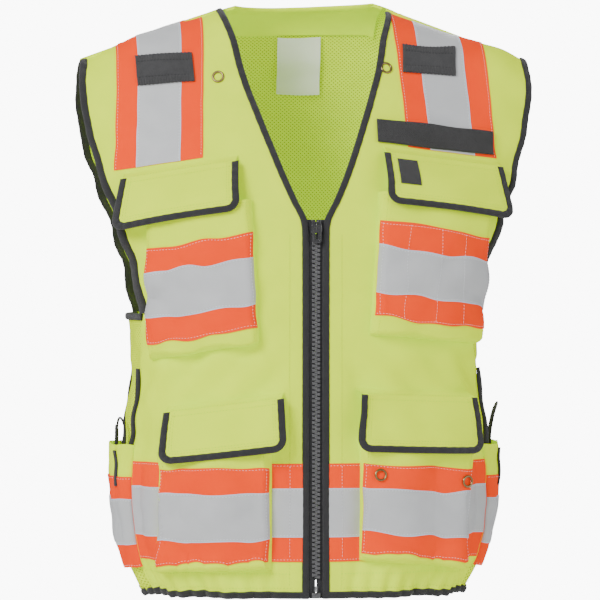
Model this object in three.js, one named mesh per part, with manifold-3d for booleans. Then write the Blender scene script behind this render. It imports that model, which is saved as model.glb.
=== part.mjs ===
// High visibility work vest, zipped shut and hanging as it is worn.
// Millimetres, +Z up. The wearer faces -Y, so the wearer's left is +X.
// The origin is in the middle of the neck opening, at the height of the shoulders.
import * as THREE from 'three';
import Module from 'manifold-3d';
import { mergeVertices } from 'three/addons/utils/BufferGeometryUtils.js';

const wasm = await Module();
wasm.setup();

// ---------------------------------------------------------------- driving dimensions

const halfDepth = 118; // centre line to the inner face at the centre front and centre back
const roundness = 2.3; // exponent of the plan outline: 2 is an ellipse, more is squarer
const neckHalfWidth = 87;
const neckPointHeight = 22;
const shoulderSlope = 0.365;
const backNeckHeight = 25;
const hemHeight = -592;
const armholeBottom = -300;
const armholeFullHeight = -200; // above this height the armhole has its full width
const armholeWidening = 0.12; // how much wider the plan outline is beside the armhole
const sideSeamBearing = THREE.MathUtils.degToRad(70);

// Half the width of the vest at a height, from the shoulder tips down to the hem.
const sideProfile = [
  [-20, 236],
  [-60, 239],
  [-100, 234],
  [-150, 221],
  [-200, 203],
  [-250, 192],
  [-350, 184],
  [-400, 192],
  [-470, 197],
  [-530, 192],
  [-565, 183],
  [hemHeight, 167],
];

// Distance from the centre line to the free edge: the V of the neck, then the zip.
const zipEdge = 7;
const zipTopHeight = -200;
const neckProfile = [
  [neckPointHeight, neckHalfWidth],
  [-10, 76],
  [-46, 68],
  [-89, 54],
  [-147, 33],
  [-180, 19],
  [zipTopHeight, 9],
  [-216, zipEdge],
  [hemHeight, zipEdge],
];

const fabricThickness = 1.6;
const trimThickness = 1;
const layerGap = 1.2; // air between sewn layers, so that faceted curves never touch
const seamGap = 0.8; // air between pieces that meet edge to edge
const bindingWidth = 7.5;
const bindingThickness = 3.2;

const orangeWidth = 25.4;
const silverWidth = 50.8;
const trimWidth = silverWidth + 2 * orangeWidth;

const pouchDepth = 12;
const pouchWall = 1.6;
const flapThickness = 1.6;
const flapClearance = 5;
const flapCornerRadius = 14;
const flapBindingProud = 0.4; // how far the binding stands out on each face of its flap

const zipLength = 385;
const teethHalfWidth = 4.2;
const teethInset = 0.9; // centre line to the tips of the teeth
const teethThickness = 2.4;
const tapeThickness = 0.8;
const sliderHeight = 14;
const sliderWidth = 12;
const sliderPlate = 1.5;
const sliderPost = 0.9;
const sliderClearance = 0.4;

const tabWidth = 59;
const tabHeight = 31;
const tabThickness = 2.2;
const grommetOuterRadius = 6.5;
const grommetHoleRadius = 4.5;
const grommetThickness = 1.6;
const cordDiameter = 2.5;

// ---------------------------------------------------------------- finishes

const finish = (color, roughness, metalness = 0) => () =>
  new THREE.MeshStandardMaterial({ color, roughness, metalness });
const lime = finish('#e3f22d', 0.9);
const orange = finish('#ff5a28', 0.8);
const black = finish('#38383a', 0.85);
const webbing = finish('#484848', 0.8);
const satin = finish('#e8e8eb', 0.6);
const resin = finish('#2a2a2c', 0.4);
const nickel = finish('#b9ac93', 0.3, 1);

// ---------------------------------------------------------------- the garment's surface

/** Smooth curve through [height, value] points listed downwards, held level past its ends. */
function smoothProfile(points) {
  const slopes = points.map((point, i) => {
    const above = points[Math.max(i - 1, 0)];
    const below = points[Math.min(i + 1, points.length - 1)];
    return (above[1] - below[1]) / (above[0] - below[0]);
  });
  return (height) => {
    if (height >= points[0][0]) return points[0][1];
    const i = points.findIndex((point) => point[0] <= height);
    if (i < 0) return points[points.length - 1][1];
    const span = points[i - 1][0] - points[i][0];
    const t = (height - points[i][0]) / span;
    const [low, high] = [points[i][1], points[i - 1][1]];
    const bend = (1 - t) * slopes[i] - t * slopes[i - 1];
    const chord = (high - low) / span;
    return low + t * (high - low) + t * (1 - t) * span * (bend - (1 - 2 * t) * chord);
  };
}

const { smoothstep, lerp, degToRad } = THREE.MathUtils;
const sideWidth = smoothProfile(sideProfile);
const neckEdge = smoothProfile(neckProfile);
const sideSeamShare = Math.sin(sideSeamBearing) ** (2 / roundness);
const besideArmhole = (z) => smoothstep(z, armholeBottom, armholeFullHeight);
const planHalfWidth = (z) => sideWidth(z) * (1 + armholeWidening * besideArmhole(z));

/** Height of the shoulder line: straight from neck to tip, and a low arch across the neck. */
function shoulderHeight(x) {
  const arch = (neckHalfWidth ** 2 - x ** 2) / (2 * neckHalfWidth);
  const straight = neckHalfWidth - Math.abs(x);
  return neckPointHeight + shoulderSlope * (Math.abs(x) < neckHalfWidth ? arch : straight);
}

/** Half-width of the front and back panels: the side seam low down, the armhole higher up. */
function panelEdge(z) {
  const share = lerp(sideSeamShare, 1 / (1 + armholeWidening), besideArmhole(z));
  return planHalfWidth(z) * share;
}

const quarterRound = (t) => Math.sqrt(1 - (1 - Math.min(t, 1)) ** 2);
const chestFill = (drop) => 0.38 * quarterRound(drop / 50) + 0.62 * smoothstep(drop, 0, 230);
const bladeFill = (drop) => 0.6 * quarterRound(drop / 40) + 0.4 * smoothstep(drop, 0, 150);

/** Point of the inner face at a bearing (0 centre front, 90 degrees left side) and a height. */
function bodyPoint(bearing, z) {
  const [across, along] = [Math.sin(bearing), Math.cos(bearing)];
  const x = planHalfWidth(z) * Math.sign(across) * Math.abs(across) ** (2 / roundness);
  const drop = Math.max(shoulderHeight(x) - z, 0);
  const fill = along > 0 ? chestFill(drop) : bladeFill(drop);
  const y = -halfDepth * Math.sign(along) * Math.abs(along) ** (2 / roundness) * fill;
  return new THREE.Vector3(x, y, z);
}

const bearingStep = 0.004;
const heightStep = 0.4;

/** Outward normal of the inner face. */
function bodyNormal(bearing, z) {
  const across = bodyPoint(bearing + bearingStep, z).sub(bodyPoint(bearing - bearingStep, z));
  const up = bodyPoint(bearing, z + heightStep).sub(bodyPoint(bearing, z - heightStep));
  return across.cross(up).normalize();
}

const lifted = (bearing, z, lift) =>
  bodyPoint(bearing, z).addScaledVector(bodyNormal(bearing, z), lift);

/** Bearing of the point x millimetres from the centre line, on the front or the back. */
function bearingAt(x, z, onBack = false) {
  const share = Math.min(Math.abs(x) / planHalfWidth(z), 1);
  const bearing = Math.asin(share ** (roundness / 2)) * Math.sign(x);
  return onBack ? Math.PI - bearing : bearing;
}

const frontPoint = (x, z, lift) => lifted(bearingAt(x, z), z, lift);
const backPoint = (x, z, lift) => lifted(bearingAt(x, z, true), z, lift);

// ---------------------------------------------------------------- making closed solids

/** Closed solid between two faces, each a function of (u, v), joined by walls at the four edges. */
function solidBetween(innerFace, outerFace, columns, rows) {
  const positions = [];
  for (const face of [innerFace, outerFace]) {
    for (let row = 0; row <= rows; row += 1) {
      for (let column = 0; column <= columns; column += 1) {
        positions.push(...face(column / columns, row / rows).toArray());
      }
    }
  }
  const at = (column, row, layer) => (layer * (rows + 1) + row) * (columns + 1) + column;
  const index = [];
  const quad = (a, b, c, d) => index.push(a, b, c, a, c, d);
  for (let row = 0; row < rows; row += 1) {
    for (let column = 0; column < columns; column += 1) {
      const corners = [[0, 0], [0, 1], [1, 1], [1, 0]];
      quad(...corners.map(([i, j]) => at(column + i, row + j, 1)));
      quad(...corners.reverse().map(([i, j]) => at(column + i, row + j, 0)));
    }
  }
  for (let column = 0; column < columns; column += 1) {
    quad(at(column, 0, 1), at(column + 1, 0, 1), at(column + 1, 0, 0), at(column, 0, 0));
    quad(at(column + 1, rows, 1), at(column, rows, 1), at(column, rows, 0), at(column + 1, rows, 0));
  }
  for (let row = 0; row < rows; row += 1) {
    quad(at(0, row + 1, 1), at(0, row, 1), at(0, row, 0), at(0, row + 1, 0));
    quad(at(columns, row, 1), at(columns, row + 1, 1), at(columns, row + 1, 0), at(columns, row, 0));
  }
  return facingOut(geometryOf(positions, index));
}

function geometryOf(positions, index) {
  const geometry = new THREE.BufferGeometry();
  geometry.setAttribute('position', new THREE.Float32BufferAttribute(positions, 3));
  geometry.setIndex(index);
  geometry.computeVertexNormals();
  return geometry;
}

/** Turns every triangle over when the solid is inside out, as it is on the wearer's right. */
function facingOut(geometry) {
  const corner = [0, 1, 2].map(() => new THREE.Vector3());
  const { position } = geometry.attributes;
  const index = Array.from(geometry.index.array);
  let volume = 0;
  for (let i = 0; i < index.length; i += 3) {
    corner.forEach((point, k) => point.fromBufferAttribute(position, index[i + k]));
    volume += corner[0].dot(corner[1].clone().cross(corner[2]));
  }
  if (volume < 0) geometry.setIndex(index.reverse());
  geometry.computeVertexNormals();
  return geometry;
}

/** A sheet lying on the garment: place(u, v) gives [bearing, height], and lift its two faces. */
function sheetOn(place, [innerLift, outerLift], columns, rows) {
  const face = (lift) => (u, v) => {
    const amount = typeof lift === 'function' ? lift(u, v) : lift;
    return lifted(...place(u, v), amount);
  };
  return solidBetween(face(innerLift), face(outerLift), columns, rows);
}

/** A piece's place from its four corners, each [x, z], running outwards and then downwards. */
function fourCorners({ innerTop, outerTop, outerBottom, innerBottom }, side, onBack = false) {
  return (u, v) => {
    const x = lerp(lerp(innerTop[0], outerTop[0], u), lerp(innerBottom[0], outerBottom[0], u), v);
    const z = lerp(lerp(innerTop[1], outerTop[1], u), lerp(innerBottom[1], outerBottom[1], u), v);
    return [bearingAt(side * x, z, onBack), z];
  };
}

function manifoldOf(geometry) {
  const bare = geometry.clone();
  bare.deleteAttribute('normal');
  bare.deleteAttribute('uv');
  const merged = mergeVertices(bare, 1e-4);
  const mesh = new wasm.Mesh({
    numProp: 3,
    vertProperties: new Float32Array(merged.attributes.position.array),
    triVerts: new Uint32Array(merged.index.array),
  });
  return new wasm.Manifold(mesh);
}

function geometryFrom(manifold) {
  const mesh = manifold.getMesh();
  return geometryOf(Array.from(mesh.vertProperties), Array.from(mesh.triVerts));
}

const vest = new THREE.Group();

function addPart(name, geometry, material) {
  const mesh = new THREE.Mesh(geometry, material());
  mesh.name = name;
  vest.add(mesh);
  return mesh;
}

/** Stands a piece made around the origin on the front, its +Y pointing away from the wearer. */
function standOnFront(mesh, x, z, lift, tilt = 0) {
  const bearing = bearingAt(x, z);
  const outward = bodyNormal(bearing, z);
  const sideways = new THREE.Vector3(0, 0, 1).cross(outward).normalize();
  const downward = sideways.clone().cross(outward);
  const frame = new THREE.Matrix4().makeBasis(sideways, outward, downward);
  mesh.quaternion.setFromRotationMatrix(frame);
  mesh.rotateY(tilt);
  mesh.position.copy(lifted(bearing, z, lift));
}

// ---------------------------------------------------------------- lifts of the layers

const shell = [0, fabricThickness];
const trimLift = [fabricThickness + layerGap, fabricThickness + layerGap + trimThickness];
const bindingLift = [-0.8, bindingThickness - 0.8];
const pouchBase = trimLift[1] + layerGap;
const pouchTop = pouchBase + pouchDepth;
const pouchTrimLift = [pouchTop + layerGap, pouchTop + layerGap + trimThickness];
const sides = [['right', -1], ['left', 1]];

/** Spread columns closer together towards both ends, or towards the side seam only. */
const crowdEnds = (u) => 0.5 - 0.5 * Math.cos(Math.PI * u);
const crowdOuter = (u) => Math.sin((Math.PI / 2) * u);

/** Rows crowd together at the shoulder, where the cloth turns over most sharply. */
const rowSpacing = 1.7;
const shoulderSeam = 0.01; // drop below the shoulder line where front and back meet

/** Place on a panel between two edges, from the shoulder or neck down to a bottom height. */
function panelPlace(edges, top, bottom, onBack) {
  return (u, v) => {
    const xAt = (z) => lerp(...edges(z), u);
    let z = top(xAt(0));
    for (let step = 0; step < 6; step += 1) z = top(xAt(z));
    z = lerp(z, bottom, v ** rowSpacing);
    return [bearingAt(xAt(z), z, onBack), z];
  };
}

// ---------------------------------------------------------------- back of the vest

const armholeFoot = armholeBottom + 14; // lower end of the armhole bindings
const armholeInset = (z) => (bindingWidth + seamGap) * smoothstep(z, armholeBottom - 50, armholeBottom - 25);
// Rows of facets down a panel, close enough together that the trims laid on it stay clear of it.
const rowHeight = 29.6;
const panelRows = Math.round(-hemHeight / rowHeight);

const backEdge = (z) => panelEdge(z) - armholeInset(z);
const backTop = (x) => Math.min(shoulderHeight(x) - shoulderSeam, backNeckHeight);
const hemTop = hemHeight + bindingWidth;
const backPanelPlace = panelPlace((z) => [-backEdge(z), backEdge(z)], backTop, hemTop + seamGap, true);
const backPlace = (u, v) => backPanelPlace(crowdEnds(u), v);
addPart('back_panel', sheetOn(backPlace, shell, 28, panelRows), lime);

const facingHeight = 26;
const liningGap = 2;
const liningLift = [-liningGap - trimThickness, -liningGap];
const facing = {
  innerTop: [0, backNeckHeight - 1],
  outerTop: [neckHalfWidth - 10, backNeckHeight - 4],
  outerBottom: [neckHalfWidth - 4, backNeckHeight - 4 - facingHeight],
  innerBottom: [0, backNeckHeight - facingHeight],
};
const facingSide = [fourCorners(facing, -1, true), fourCorners(facing, 1, true)];
const facingPlace = (u, v) => (u < 0.5 ? facingSide[0](1 - 2 * u, v) : facingSide[1](2 * u - 1, v));
addPart('back_neck_facing', sheetOn(facingPlace, liningLift, 12, 2), lime);

const labelSize = [47, 60];
const labelLift = [liningLift[0] - layerGap - 0.6, liningLift[0] - layerGap];
const labelPlace = (u, v) => {
  const z = backNeckHeight - 28 - labelSize[1] * v;
  return [bearingAt(3 + labelSize[0] * (u - 0.5), z, true), z];
};
addPart('care_label', sheetOn(labelPlace, labelLift, 3, 3), satin);

const waistTrimTop = -452;
const sideSeam = (z) => panelEdge(z) - seamGap;
const backTrimPlace = (u, v) => {
  const z = waistTrimTop - trimWidth * v;
  return [bearingAt(lerp(-1, 1, crowdEnds(u)) * sideSeam(z), z, true), z];
};
addPart('back_waist_trim', sheetOn(backTrimPlace, trimLift, 20, 3), orange);

const backHemPlace = (u, v) => {
  const z = lerp(hemTop, hemHeight, v);
  return [bearingAt(lerp(-1, 1, u) * sideSeam(z), z, true), z];
};
addPart('back_hem_binding', sheetOn(backHemPlace, bindingLift, 20, 1), black);

/** Trim hanging from the shoulder line, its inner edge moving from one distance to another. */
function shoulderTrimPlace(side, [innerTop, innerBottom], width, bottoms, onBack) {
  return (u, v) => {
    const top = shoulderHeight(innerTop + width * u) - shoulderSeam;
    const z = lerp(top, lerp(...bottoms, u), v ** rowSpacing);
    const share = (top - z) / (top - lerp(...bottoms, u));
    return [bearingAt(side * (lerp(innerTop, innerBottom, share) + width * u), z, onBack), z];
  };
}

for (const [name, side] of sides) {
  const stripeFoot = waistTrimTop + 4;
  const backStripe = shoulderTrimPlace(side, [102, 48], trimWidth - 8, [stripeFoot, stripeFoot], true);
  addPart(`back_stripe_${name}`, sheetOn(backStripe, trimLift, 7, 18), orange);

  const armholePlace = (onBack) => {
    const place = panelPlace((z) => [panelEdge(z) - bindingWidth, panelEdge(z)].map((x) => side * x),
      (x) => shoulderHeight(x) - shoulderSeam, armholeFoot, onBack);
    return place;
  };
  addPart(`back_armhole_binding_${name}`, sheetOn(armholePlace(true), bindingLift, 1, 12), black);
  addPart(`front_armhole_binding_${name}`, sheetOn(armholePlace(false), bindingLift, 1, 12), black);
}

// ---------------------------------------------------------------- sides, with their slits

const slitTop = -352;
const hipBandTop = -436;
const slitRecess = 7;
const gussetMargin = degToRad(0.8);
const hipBandProud = 12;

for (const [name, side] of sides) {
  const bearingAcross = (u, margin) =>
    side * lerp(sideSeamBearing + margin, Math.PI - sideSeamBearing - margin, u);
  const recess = (u, v) => {
    const z = lerp(armholeBottom, hemHeight, v);
    const inSlit = smoothstep(-z, -slitTop - 10, -slitTop + 20) * (1 - smoothstep(-z, 440, 480));
    return -slitRecess * inSlit * Math.sin(Math.PI * u);
  };
  const gussetPlace = (u, v) => [bearingAcross(u, gussetMargin), lerp(armholeBottom, hemHeight, v)];
  const gussetLift = [(u, v) => recess(u, v), (u, v) => recess(u, v) + fabricThickness];
  addPart(`side_gusset_${name}`, sheetOn(gussetPlace, gussetLift, 6, 14), lime);

  const hipPlace = (u, v) =>
    [bearingAcross(u, degToRad(2)), lerp(hipBandTop, waistTrimTop - trimWidth, v)];
  const stand = (u, v) => 6.5 + (hipBandProud - 8) * Math.sin(Math.PI * u) * (1 - v);
  const hipLift = [(u, v) => stand(u, v), (u, v) => stand(u, v) + fabricThickness];
  addPart(`hip_band_${name}`, sheetOn(hipPlace, hipLift, 6, 5), orange);
}

// Elastic cord loops of the side adjusters: [bearing in degrees, height, lift] along each loop.
const cordLoops = {
  side_cord_right: [-1, [[88, -440, 3.9], [88.5, -428, 4.2], [87.5, -417, 4.8], [84.5, -410.5, 5.4],
    [81, -408.5, 5.6], [77.5, -411, 5.4], [75, -418, 4.8], [74.2, -428, 4.2], [74, -440, 3.9]]],
  side_cord_right_short: [-1, [[101, -440, 3.9], [101.2, -430, 4.2], [100, -422, 4.8], [97, -418.5, 5.2],
    [94, -422, 4.8], [92.8, -430, 4.2], [93, -440, 3.9]]],
  side_cord_left: [1, [[76, -440, 3.9], [76.3, -428, 4.6], [77.5, -416, 7], [80, -405, 10],
    [83.5, -398, 13], [87.5, -396, 14.5], [91, -400, 13], [93, -409, 10], [93.8, -420, 7],
    [94, -430, 4.6], [94, -440, 3.9]]],
  side_cord_left_short: [1, [[98, -440, 3.9], [98.3, -428, 4.6], [100, -419, 6.5], [103, -414.5, 7.5],
    [106, -419, 6.5], [107.7, -428, 4.6], [108, -440, 3.9]]],
};

function cordTube(side, route) {
  const points = route.map(([bearing, z, lift]) => lifted(side * degToRad(bearing), z, lift));
  const path = new THREE.CatmullRomCurve3(points);
  const section = new THREE.Shape();
  section.absarc(0, 0, cordDiameter / 2, 0, 2 * Math.PI);
  const steps = Math.round(path.getLength() / (2 * cordDiameter));
  const settings = { steps, extrudePath: path, bevelEnabled: false, curveSegments: 4 };
  return new THREE.ExtrudeGeometry(section, settings);
}

for (const [name, [side, route]] of Object.entries(cordLoops)) {
  addPart(name, cordTube(side, route), black);
}

// ---------------------------------------------------------------- fronts

for (const [name, side] of sides) {
  const frontEdges = (z) => {
    const inner = neckEdge(z) + bindingWidth + seamGap;
    return [side * inner, side * (panelEdge(z) - armholeInset(z))];
  };
  const shoulderSeamAt = (x) => shoulderHeight(x) - shoulderSeam;
  const frontPanelPlace = panelPlace(frontEdges, shoulderSeamAt, hemTop + seamGap, false);
  const frontPlace = (u, v) => frontPanelPlace(crowdOuter(u), v);
  addPart(`front_panel_${name}`, sheetOn(frontPlace, shell, 14, panelRows), lime);

  const edgeStrip = (z) => [side * neckEdge(z), side * (neckEdge(z) + bindingWidth)];
  const edgePlace = panelPlace(edgeStrip, shoulderSeamAt, hemTop + seamGap, false);
  addPart(`front_edge_binding_${name}`, sheetOn(edgePlace, bindingLift, 1, panelRows), black);

  const hemPlace = (u, v) => {
    const z = lerp(hemTop, hemHeight, v);
    return [bearingAt(side * lerp(zipEdge, sideSeam(z), u), z), z];
  };
  addPart(`front_hem_binding_${name}`, sheetOn(hemPlace, bindingLift, 10, 1), black);

  const waistTrimPlace = (u, v) => {
    const z = waistTrimTop - trimWidth * v;
    return [bearingAt(side * lerp(zipEdge + bindingWidth + seamGap, sideSeam(z), crowdOuter(u)), z), z];
  };
  addPart(`front_waist_trim_${name}`, sheetOn(waistTrimPlace, trimLift, 10, 3), orange);
}

const shoulderTrims = {
  right: { inner: [109, 114], width: 90, bottoms: [-137, -149] },
  left: { inner: [90, 99], width: 98, bottoms: [-125, -136] },
};
for (const [name, side] of sides) {
  const { inner, width, bottoms } = shoulderTrims[name];
  const place = shoulderTrimPlace(side, inner, width, bottoms, false);
  addPart(`shoulder_trim_${name}`, sheetOn(place, trimLift, 5, 8), orange);
}

// Radio tabs of webbing, sewn down across the shoulder trims.
const shoulderTabs = { right: [150, -43.5, degToRad(4)], left: [127, -33, degToRad(-3)] };
for (const [name, side] of sides) {
  const [x, z, tilt] = shoulderTabs[name];
  const tab = addPart(`shoulder_tab_${name}`, new THREE.BoxGeometry(tabWidth, tabThickness, tabHeight),
    webbing);
  standOnFront(tab, side * x, z, trimLift[1] + layerGap + tabThickness / 2, tilt);
}

// Loop tape for a name badge, on the wearer's left.
const badgeStrip = {
  innerTop: [66, -97],
  outerTop: [193, -108],
  outerBottom: [193, -133],
  innerBottom: [66, -121],
};
const badgeLift = [trimLift[1] + layerGap, trimLift[1] + layerGap + trimThickness];
addPart('badge_strip', sheetOn(fourCorners(badgeStrip, 1), badgeLift, 8, 2), black);

// ---------------------------------------------------------------- pouches and their trims

function pouchSolid(corners, side) {
  const { innerTop, outerTop, outerBottom, innerBottom } = corners;
  const place = fourCorners(corners, side);
  const block = sheetOn(place, [pouchBase, pouchTop], 8, 7);
  const above = 6;
  const hollow = {
    innerTop: [innerTop[0] + pouchWall, innerTop[1] + above],
    outerTop: [outerTop[0] - pouchWall, outerTop[1] + above],
    outerBottom: [outerBottom[0] - pouchWall, outerBottom[1] + pouchWall],
    innerBottom: [innerBottom[0] + pouchWall, innerBottom[1] + pouchWall],
  };
  const lifts = [pouchBase + pouchWall, pouchTop - pouchWall];
  const space = sheetOn(fourCorners(hollow, side), lifts, 8, 7);
  return geometryFrom(manifoldOf(block).subtract(manifoldOf(space)));
}

/** Four corners of a level strip across a pouch, from its inner and outer top points. */
const strip = (innerTop, outerTop, height) => ({
  innerTop,
  outerTop,
  outerBottom: [outerTop[0] - 4, outerTop[1] - height],
  innerBottom: [innerTop[0] - 5, innerTop[1] - height],
});

const pouches = {
  chest_pouch_right: {
    side: -1,
    corners: {
      innerTop: [66, -180],
      outerTop: [172, -197],
      outerBottom: [163, -346],
      innerBottom: [58, -327],
    },
    trim: strip([64, -213], [169, -230], trimWidth - 3),
  },
  chest_pouch_left: {
    side: 1,
    corners: {
      innerTop: [66, -172],
      outerTop: [184, -188],
      outerBottom: [176, -330],
      innerBottom: [56, -319],
    },
    trim: strip([65, -200], [182, -217], trimWidth - 3),
  },
  waist_pouch_right: {
    side: -1,
    corners: {
      innerTop: [45, -427],
      outerTop: [158, -441],
      outerBottom: [156, -564],
      innerBottom: [45, -562],
    },
    trim: strip([46, -457], [157, -459], trimWidth - 1),
  },
  waist_pouch_left: {
    side: 1,
    corners: {
      innerTop: [46, -425],
      outerTop: [164, -431],
      outerBottom: [153, -562],
      innerBottom: [46, -553],
    },
    trim: strip([47, -451], [162, -461], trimWidth - 3),
  },
};
pouches.waist_pouch_right.trim.innerBottom[0] = 46;
pouches.waist_pouch_left.trim.innerBottom[0] = 47;

for (const [name, { side, corners, trim }] of Object.entries(pouches)) {
  addPart(name, pouchSolid(corners, side), lime);
  addPart(`${name}_trim`, sheetOn(fourCorners(trim, side), pouchTrimLift, 8, 4), orange);
}

// ---------------------------------------------------------------- flaps over the pouches

const flaps = {
  chest_flap_right: { side: -1, inner: [76, -140], outer: [196, -159], length: 52 },
  chest_flap_left: { side: 1, inner: [69, -131], outer: [200, -146], length: 54 },
  waist_flap_right: { side: -1, inner: [30, -385], outer: [152, -401], length: 53 },
  waist_flap_left: { side: 1, inner: [39, -381], outer: [167, -387], length: 58 },
};

/** The straight line that a flap turns on, clear of the bulge of the chest behind it. */
function flapHinge({ side, inner, outer }) {
  const [start, end] = [inner, outer].map(([x, z]) => frontPoint(side * x, z, 0));
  const along = end.clone().sub(start);
  const outward = along.clone().cross(new THREE.Vector3(0, 0, side)).normalize();
  let bulge = 0;
  for (let share = 0; share <= 1; share += 0.1) {
    const x = side * lerp(inner[0], outer[0], share);
    const surface = frontPoint(x, lerp(inner[1], outer[1], share), 0);
    bulge = Math.max(bulge, surface.sub(start).dot(outward));
  }
  const stand = outward.clone().multiplyScalar(bulge + flapClearance);
  return { start: start.add(stand), end: end.add(stand), outward };
}

/** Maps (across, down) in millimetres to the flap's face, hanging from its hinge over the pouch. */
function flapFace(flap, lift) {
  const { start, end, outward } = flapHinge(flap);
  const { side, inner, outer, length } = flap;
  return (across, down) => {
    const share = across / start.distanceTo(end);
    const hinge = start.clone().lerp(end, share);
    const foot = frontPoint(side * lerp(inner[0], outer[0], share),
      lerp(inner[1], outer[1], share) - length, pouchTrimLift[1] + layerGap);
    const fall = down / length;
    const swell = foot.clone().sub(hinge).dot(outward) * (Math.sin((Math.PI / 2) * fall) - fall);
    return hinge.lerp(foot, fall).addScaledVector(outward, lift + swell);
  };
}

/** Distance down to the rounded lower edge of a flap at a distance across it. */
function roundedFoot(across, width, length, inset) {
  const radius = flapCornerRadius - inset;
  const edge = Math.min(across - inset, width - inset - across);
  const into = Math.max(radius - edge, 0);
  return length - inset - radius + Math.sqrt(Math.max(radius ** 2 - into ** 2, 0));
}

for (const [name, flap] of Object.entries(flaps)) {
  const hinge = flapHinge(flap);
  const width = hinge.start.distanceTo(hinge.end);
  const inset = bindingWidth + seamGap;
  const face = (lift) => (u, v) => {
    const across = lerp(inset, width - inset, crowdEnds(u));
    return flapFace(flap, lift)(across, v * roundedFoot(across, width, flap.length, inset));
  };
  addPart(name, solidBetween(face(0), face(flapThickness), 12, 3), lime);

  const corner = flapCornerRadius;
  const straight = flap.length - corner;
  const [sideSteps, cornerSteps, footSteps] = [3, 3, 8];
  const allSteps = 2 * (sideSteps + cornerSteps) + footSteps;
  /** Point (across, down) on the edge at a share t of its steps, an offset in from the edge. */
  const outline = (t, offset) => {
    const half = t > 0.5 ? 1 - t : t;
    const step = half * allSteps;
    const turn = (Math.PI / 2) * THREE.MathUtils.clamp((step - sideSteps) / cornerSteps, 0, 1);
    const radius = corner - offset;
    const along = Math.max(step - sideSteps - cornerSteps, 0) / footSteps;
    const across = corner - radius * Math.cos(turn) + (width - 2 * corner) * along;
    const down = straight * Math.min(step / sideSteps, 1) + radius * Math.sin(turn);
    return [t > 0.5 ? width - across : across, down];
  };
  const bindingFace = (lift) => (u, v) => flapFace(flap, lift)(...outline(v, bindingWidth * u));
  const [under, over] = [bindingFace(-flapBindingProud), bindingFace(flapThickness + flapBindingProud)];
  addPart(`${name}_binding`, solidBetween(under, over, 1, allSteps), black);
}

// Blank hook-and-loop patch on the wearer's left chest flap.
const patchSize = [22, 27];
const patchCorner = [14, 4]; // across from the flap's inner edge, down from its hinge
const patchLift = [flapThickness + 0.5, flapThickness + 1.7];
const patchFace = (lift) => (u, v) => {
  const across = patchCorner[0] + patchSize[0] * u;
  return flapFace(flaps.chest_flap_left, lift)(across, patchCorner[1] + patchSize[1] * v);
};
addPart('flap_patch', solidBetween(patchFace(patchLift[0]), patchFace(patchLift[1]), 3, 3), black);

// ---------------------------------------------------------------- eyelets

function grommetRing() {
  const half = grommetThickness / 2;
  const profile = [
    [grommetHoleRadius, -half],
    [grommetOuterRadius, -half],
    [grommetOuterRadius, 0],
    [(grommetOuterRadius + grommetHoleRadius) / 2, half],
    [grommetHoleRadius, 0],
    [grommetHoleRadius, -half],
  ].map(([radius, height]) => new THREE.Vector2(radius, height));
  return geometryFrom(manifoldOf(new THREE.LatheGeometry(profile, 20)));
}

const neckGrommets = { right: [96, -51], left: [80, -42] };
for (const [name, side] of sides) {
  const [x, z] = neckGrommets[name];
  const grommet = addPart(`neck_grommet_${name}`, grommetRing(), nickel);
  standOnFront(grommet, side * x, z, fabricThickness + layerGap + grommetThickness / 2);
}
const pouchGrommets = { inner: [66, -466], outer: [152, -472] };
for (const [name, [x, z]] of Object.entries(pouchGrommets)) {
  const grommet = addPart(`pouch_grommet_${name}`, grommetRing(), nickel);
  standOnFront(grommet, x, z, pouchTrimLift[1] + 0.6 + grommetThickness / 2);
}

// ---------------------------------------------------------------- zip

const zipFront = -halfDepth;
const zipBottom = zipTopHeight - zipLength;
const tapeEdge = zipEdge - seamGap;
const chainTop = { right: zipTopHeight, left: zipTopHeight - sliderHeight - 2 };
const chainBottom = { right: zipBottom, left: zipBottom + sliderHeight + 2 };
const tapeBack = zipFront - tapeThickness;
const teethBack = tapeBack - 0.3;
const teethFront = teethBack - teethThickness;

/** Upright block between two distances from the centre line, two depths and two heights. */
function uprightBlock(side, [inner, outer], [back, front], [bottom, top]) {
  const block = new THREE.BoxGeometry(outer - inner, back - front, top - bottom);
  return block.translate(side * (inner + outer) / 2, (back + front) / 2, (top + bottom) / 2);
}

for (const [name, side] of sides) {
  const heights = [chainBottom[name], chainTop[name]];
  addPart(`zip_tape_${name}`,
    uprightBlock(side, [teethInset, tapeEdge], [zipFront, tapeBack], heights), black);
  addPart(`zip_teeth_${name}`,
    uprightBlock(side, [teethInset, teethHalfWidth], [teethBack, teethFront], heights), resin);
}

/** Slider: a front plate and a back plate joined by the post that parts the two chains. */
function sliderBody() {
  const half = sliderWidth / 2;
  const post = sliderPost / 2;
  const gap = zipFront - teethFront + 2 * sliderClearance;
  const outline = new THREE.Shape();
  outline.moveTo(-half, 0);
  outline.lineTo(half, 0);
  outline.lineTo(half, sliderPlate);
  outline.lineTo(post, sliderPlate);
  outline.lineTo(post, sliderPlate + gap);
  outline.lineTo(half, sliderPlate + gap);
  outline.lineTo(half, 2 * sliderPlate + gap);
  outline.lineTo(-half, 2 * sliderPlate + gap);
  outline.lineTo(-half, sliderPlate + gap);
  outline.lineTo(-post, sliderPlate + gap);
  outline.lineTo(-post, sliderPlate);
  outline.lineTo(-half, sliderPlate);
  outline.closePath();
  return new THREE.ExtrudeGeometry(outline, { depth: sliderHeight, bevelEnabled: false });
}

const sliderFront = teethFront - sliderClearance - sliderPlate;
const slider = addPart('zip_slider', sliderBody(), resin);
slider.position.set(0, sliderFront, zipTopHeight - sliderHeight);

const pullWidth = 10;
const pullLength = 19;
const pullThickness = 1.8;
const pullGap = 0.6;
const pullTop = zipTopHeight - 5;
const pull = addPart('zip_pull_tab', new THREE.BoxGeometry(pullWidth, pullThickness, pullLength), resin);
pull.position.set(0, sliderFront - pullGap - pullThickness / 2, pullTop - pullLength / 2);

export default vest;
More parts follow.
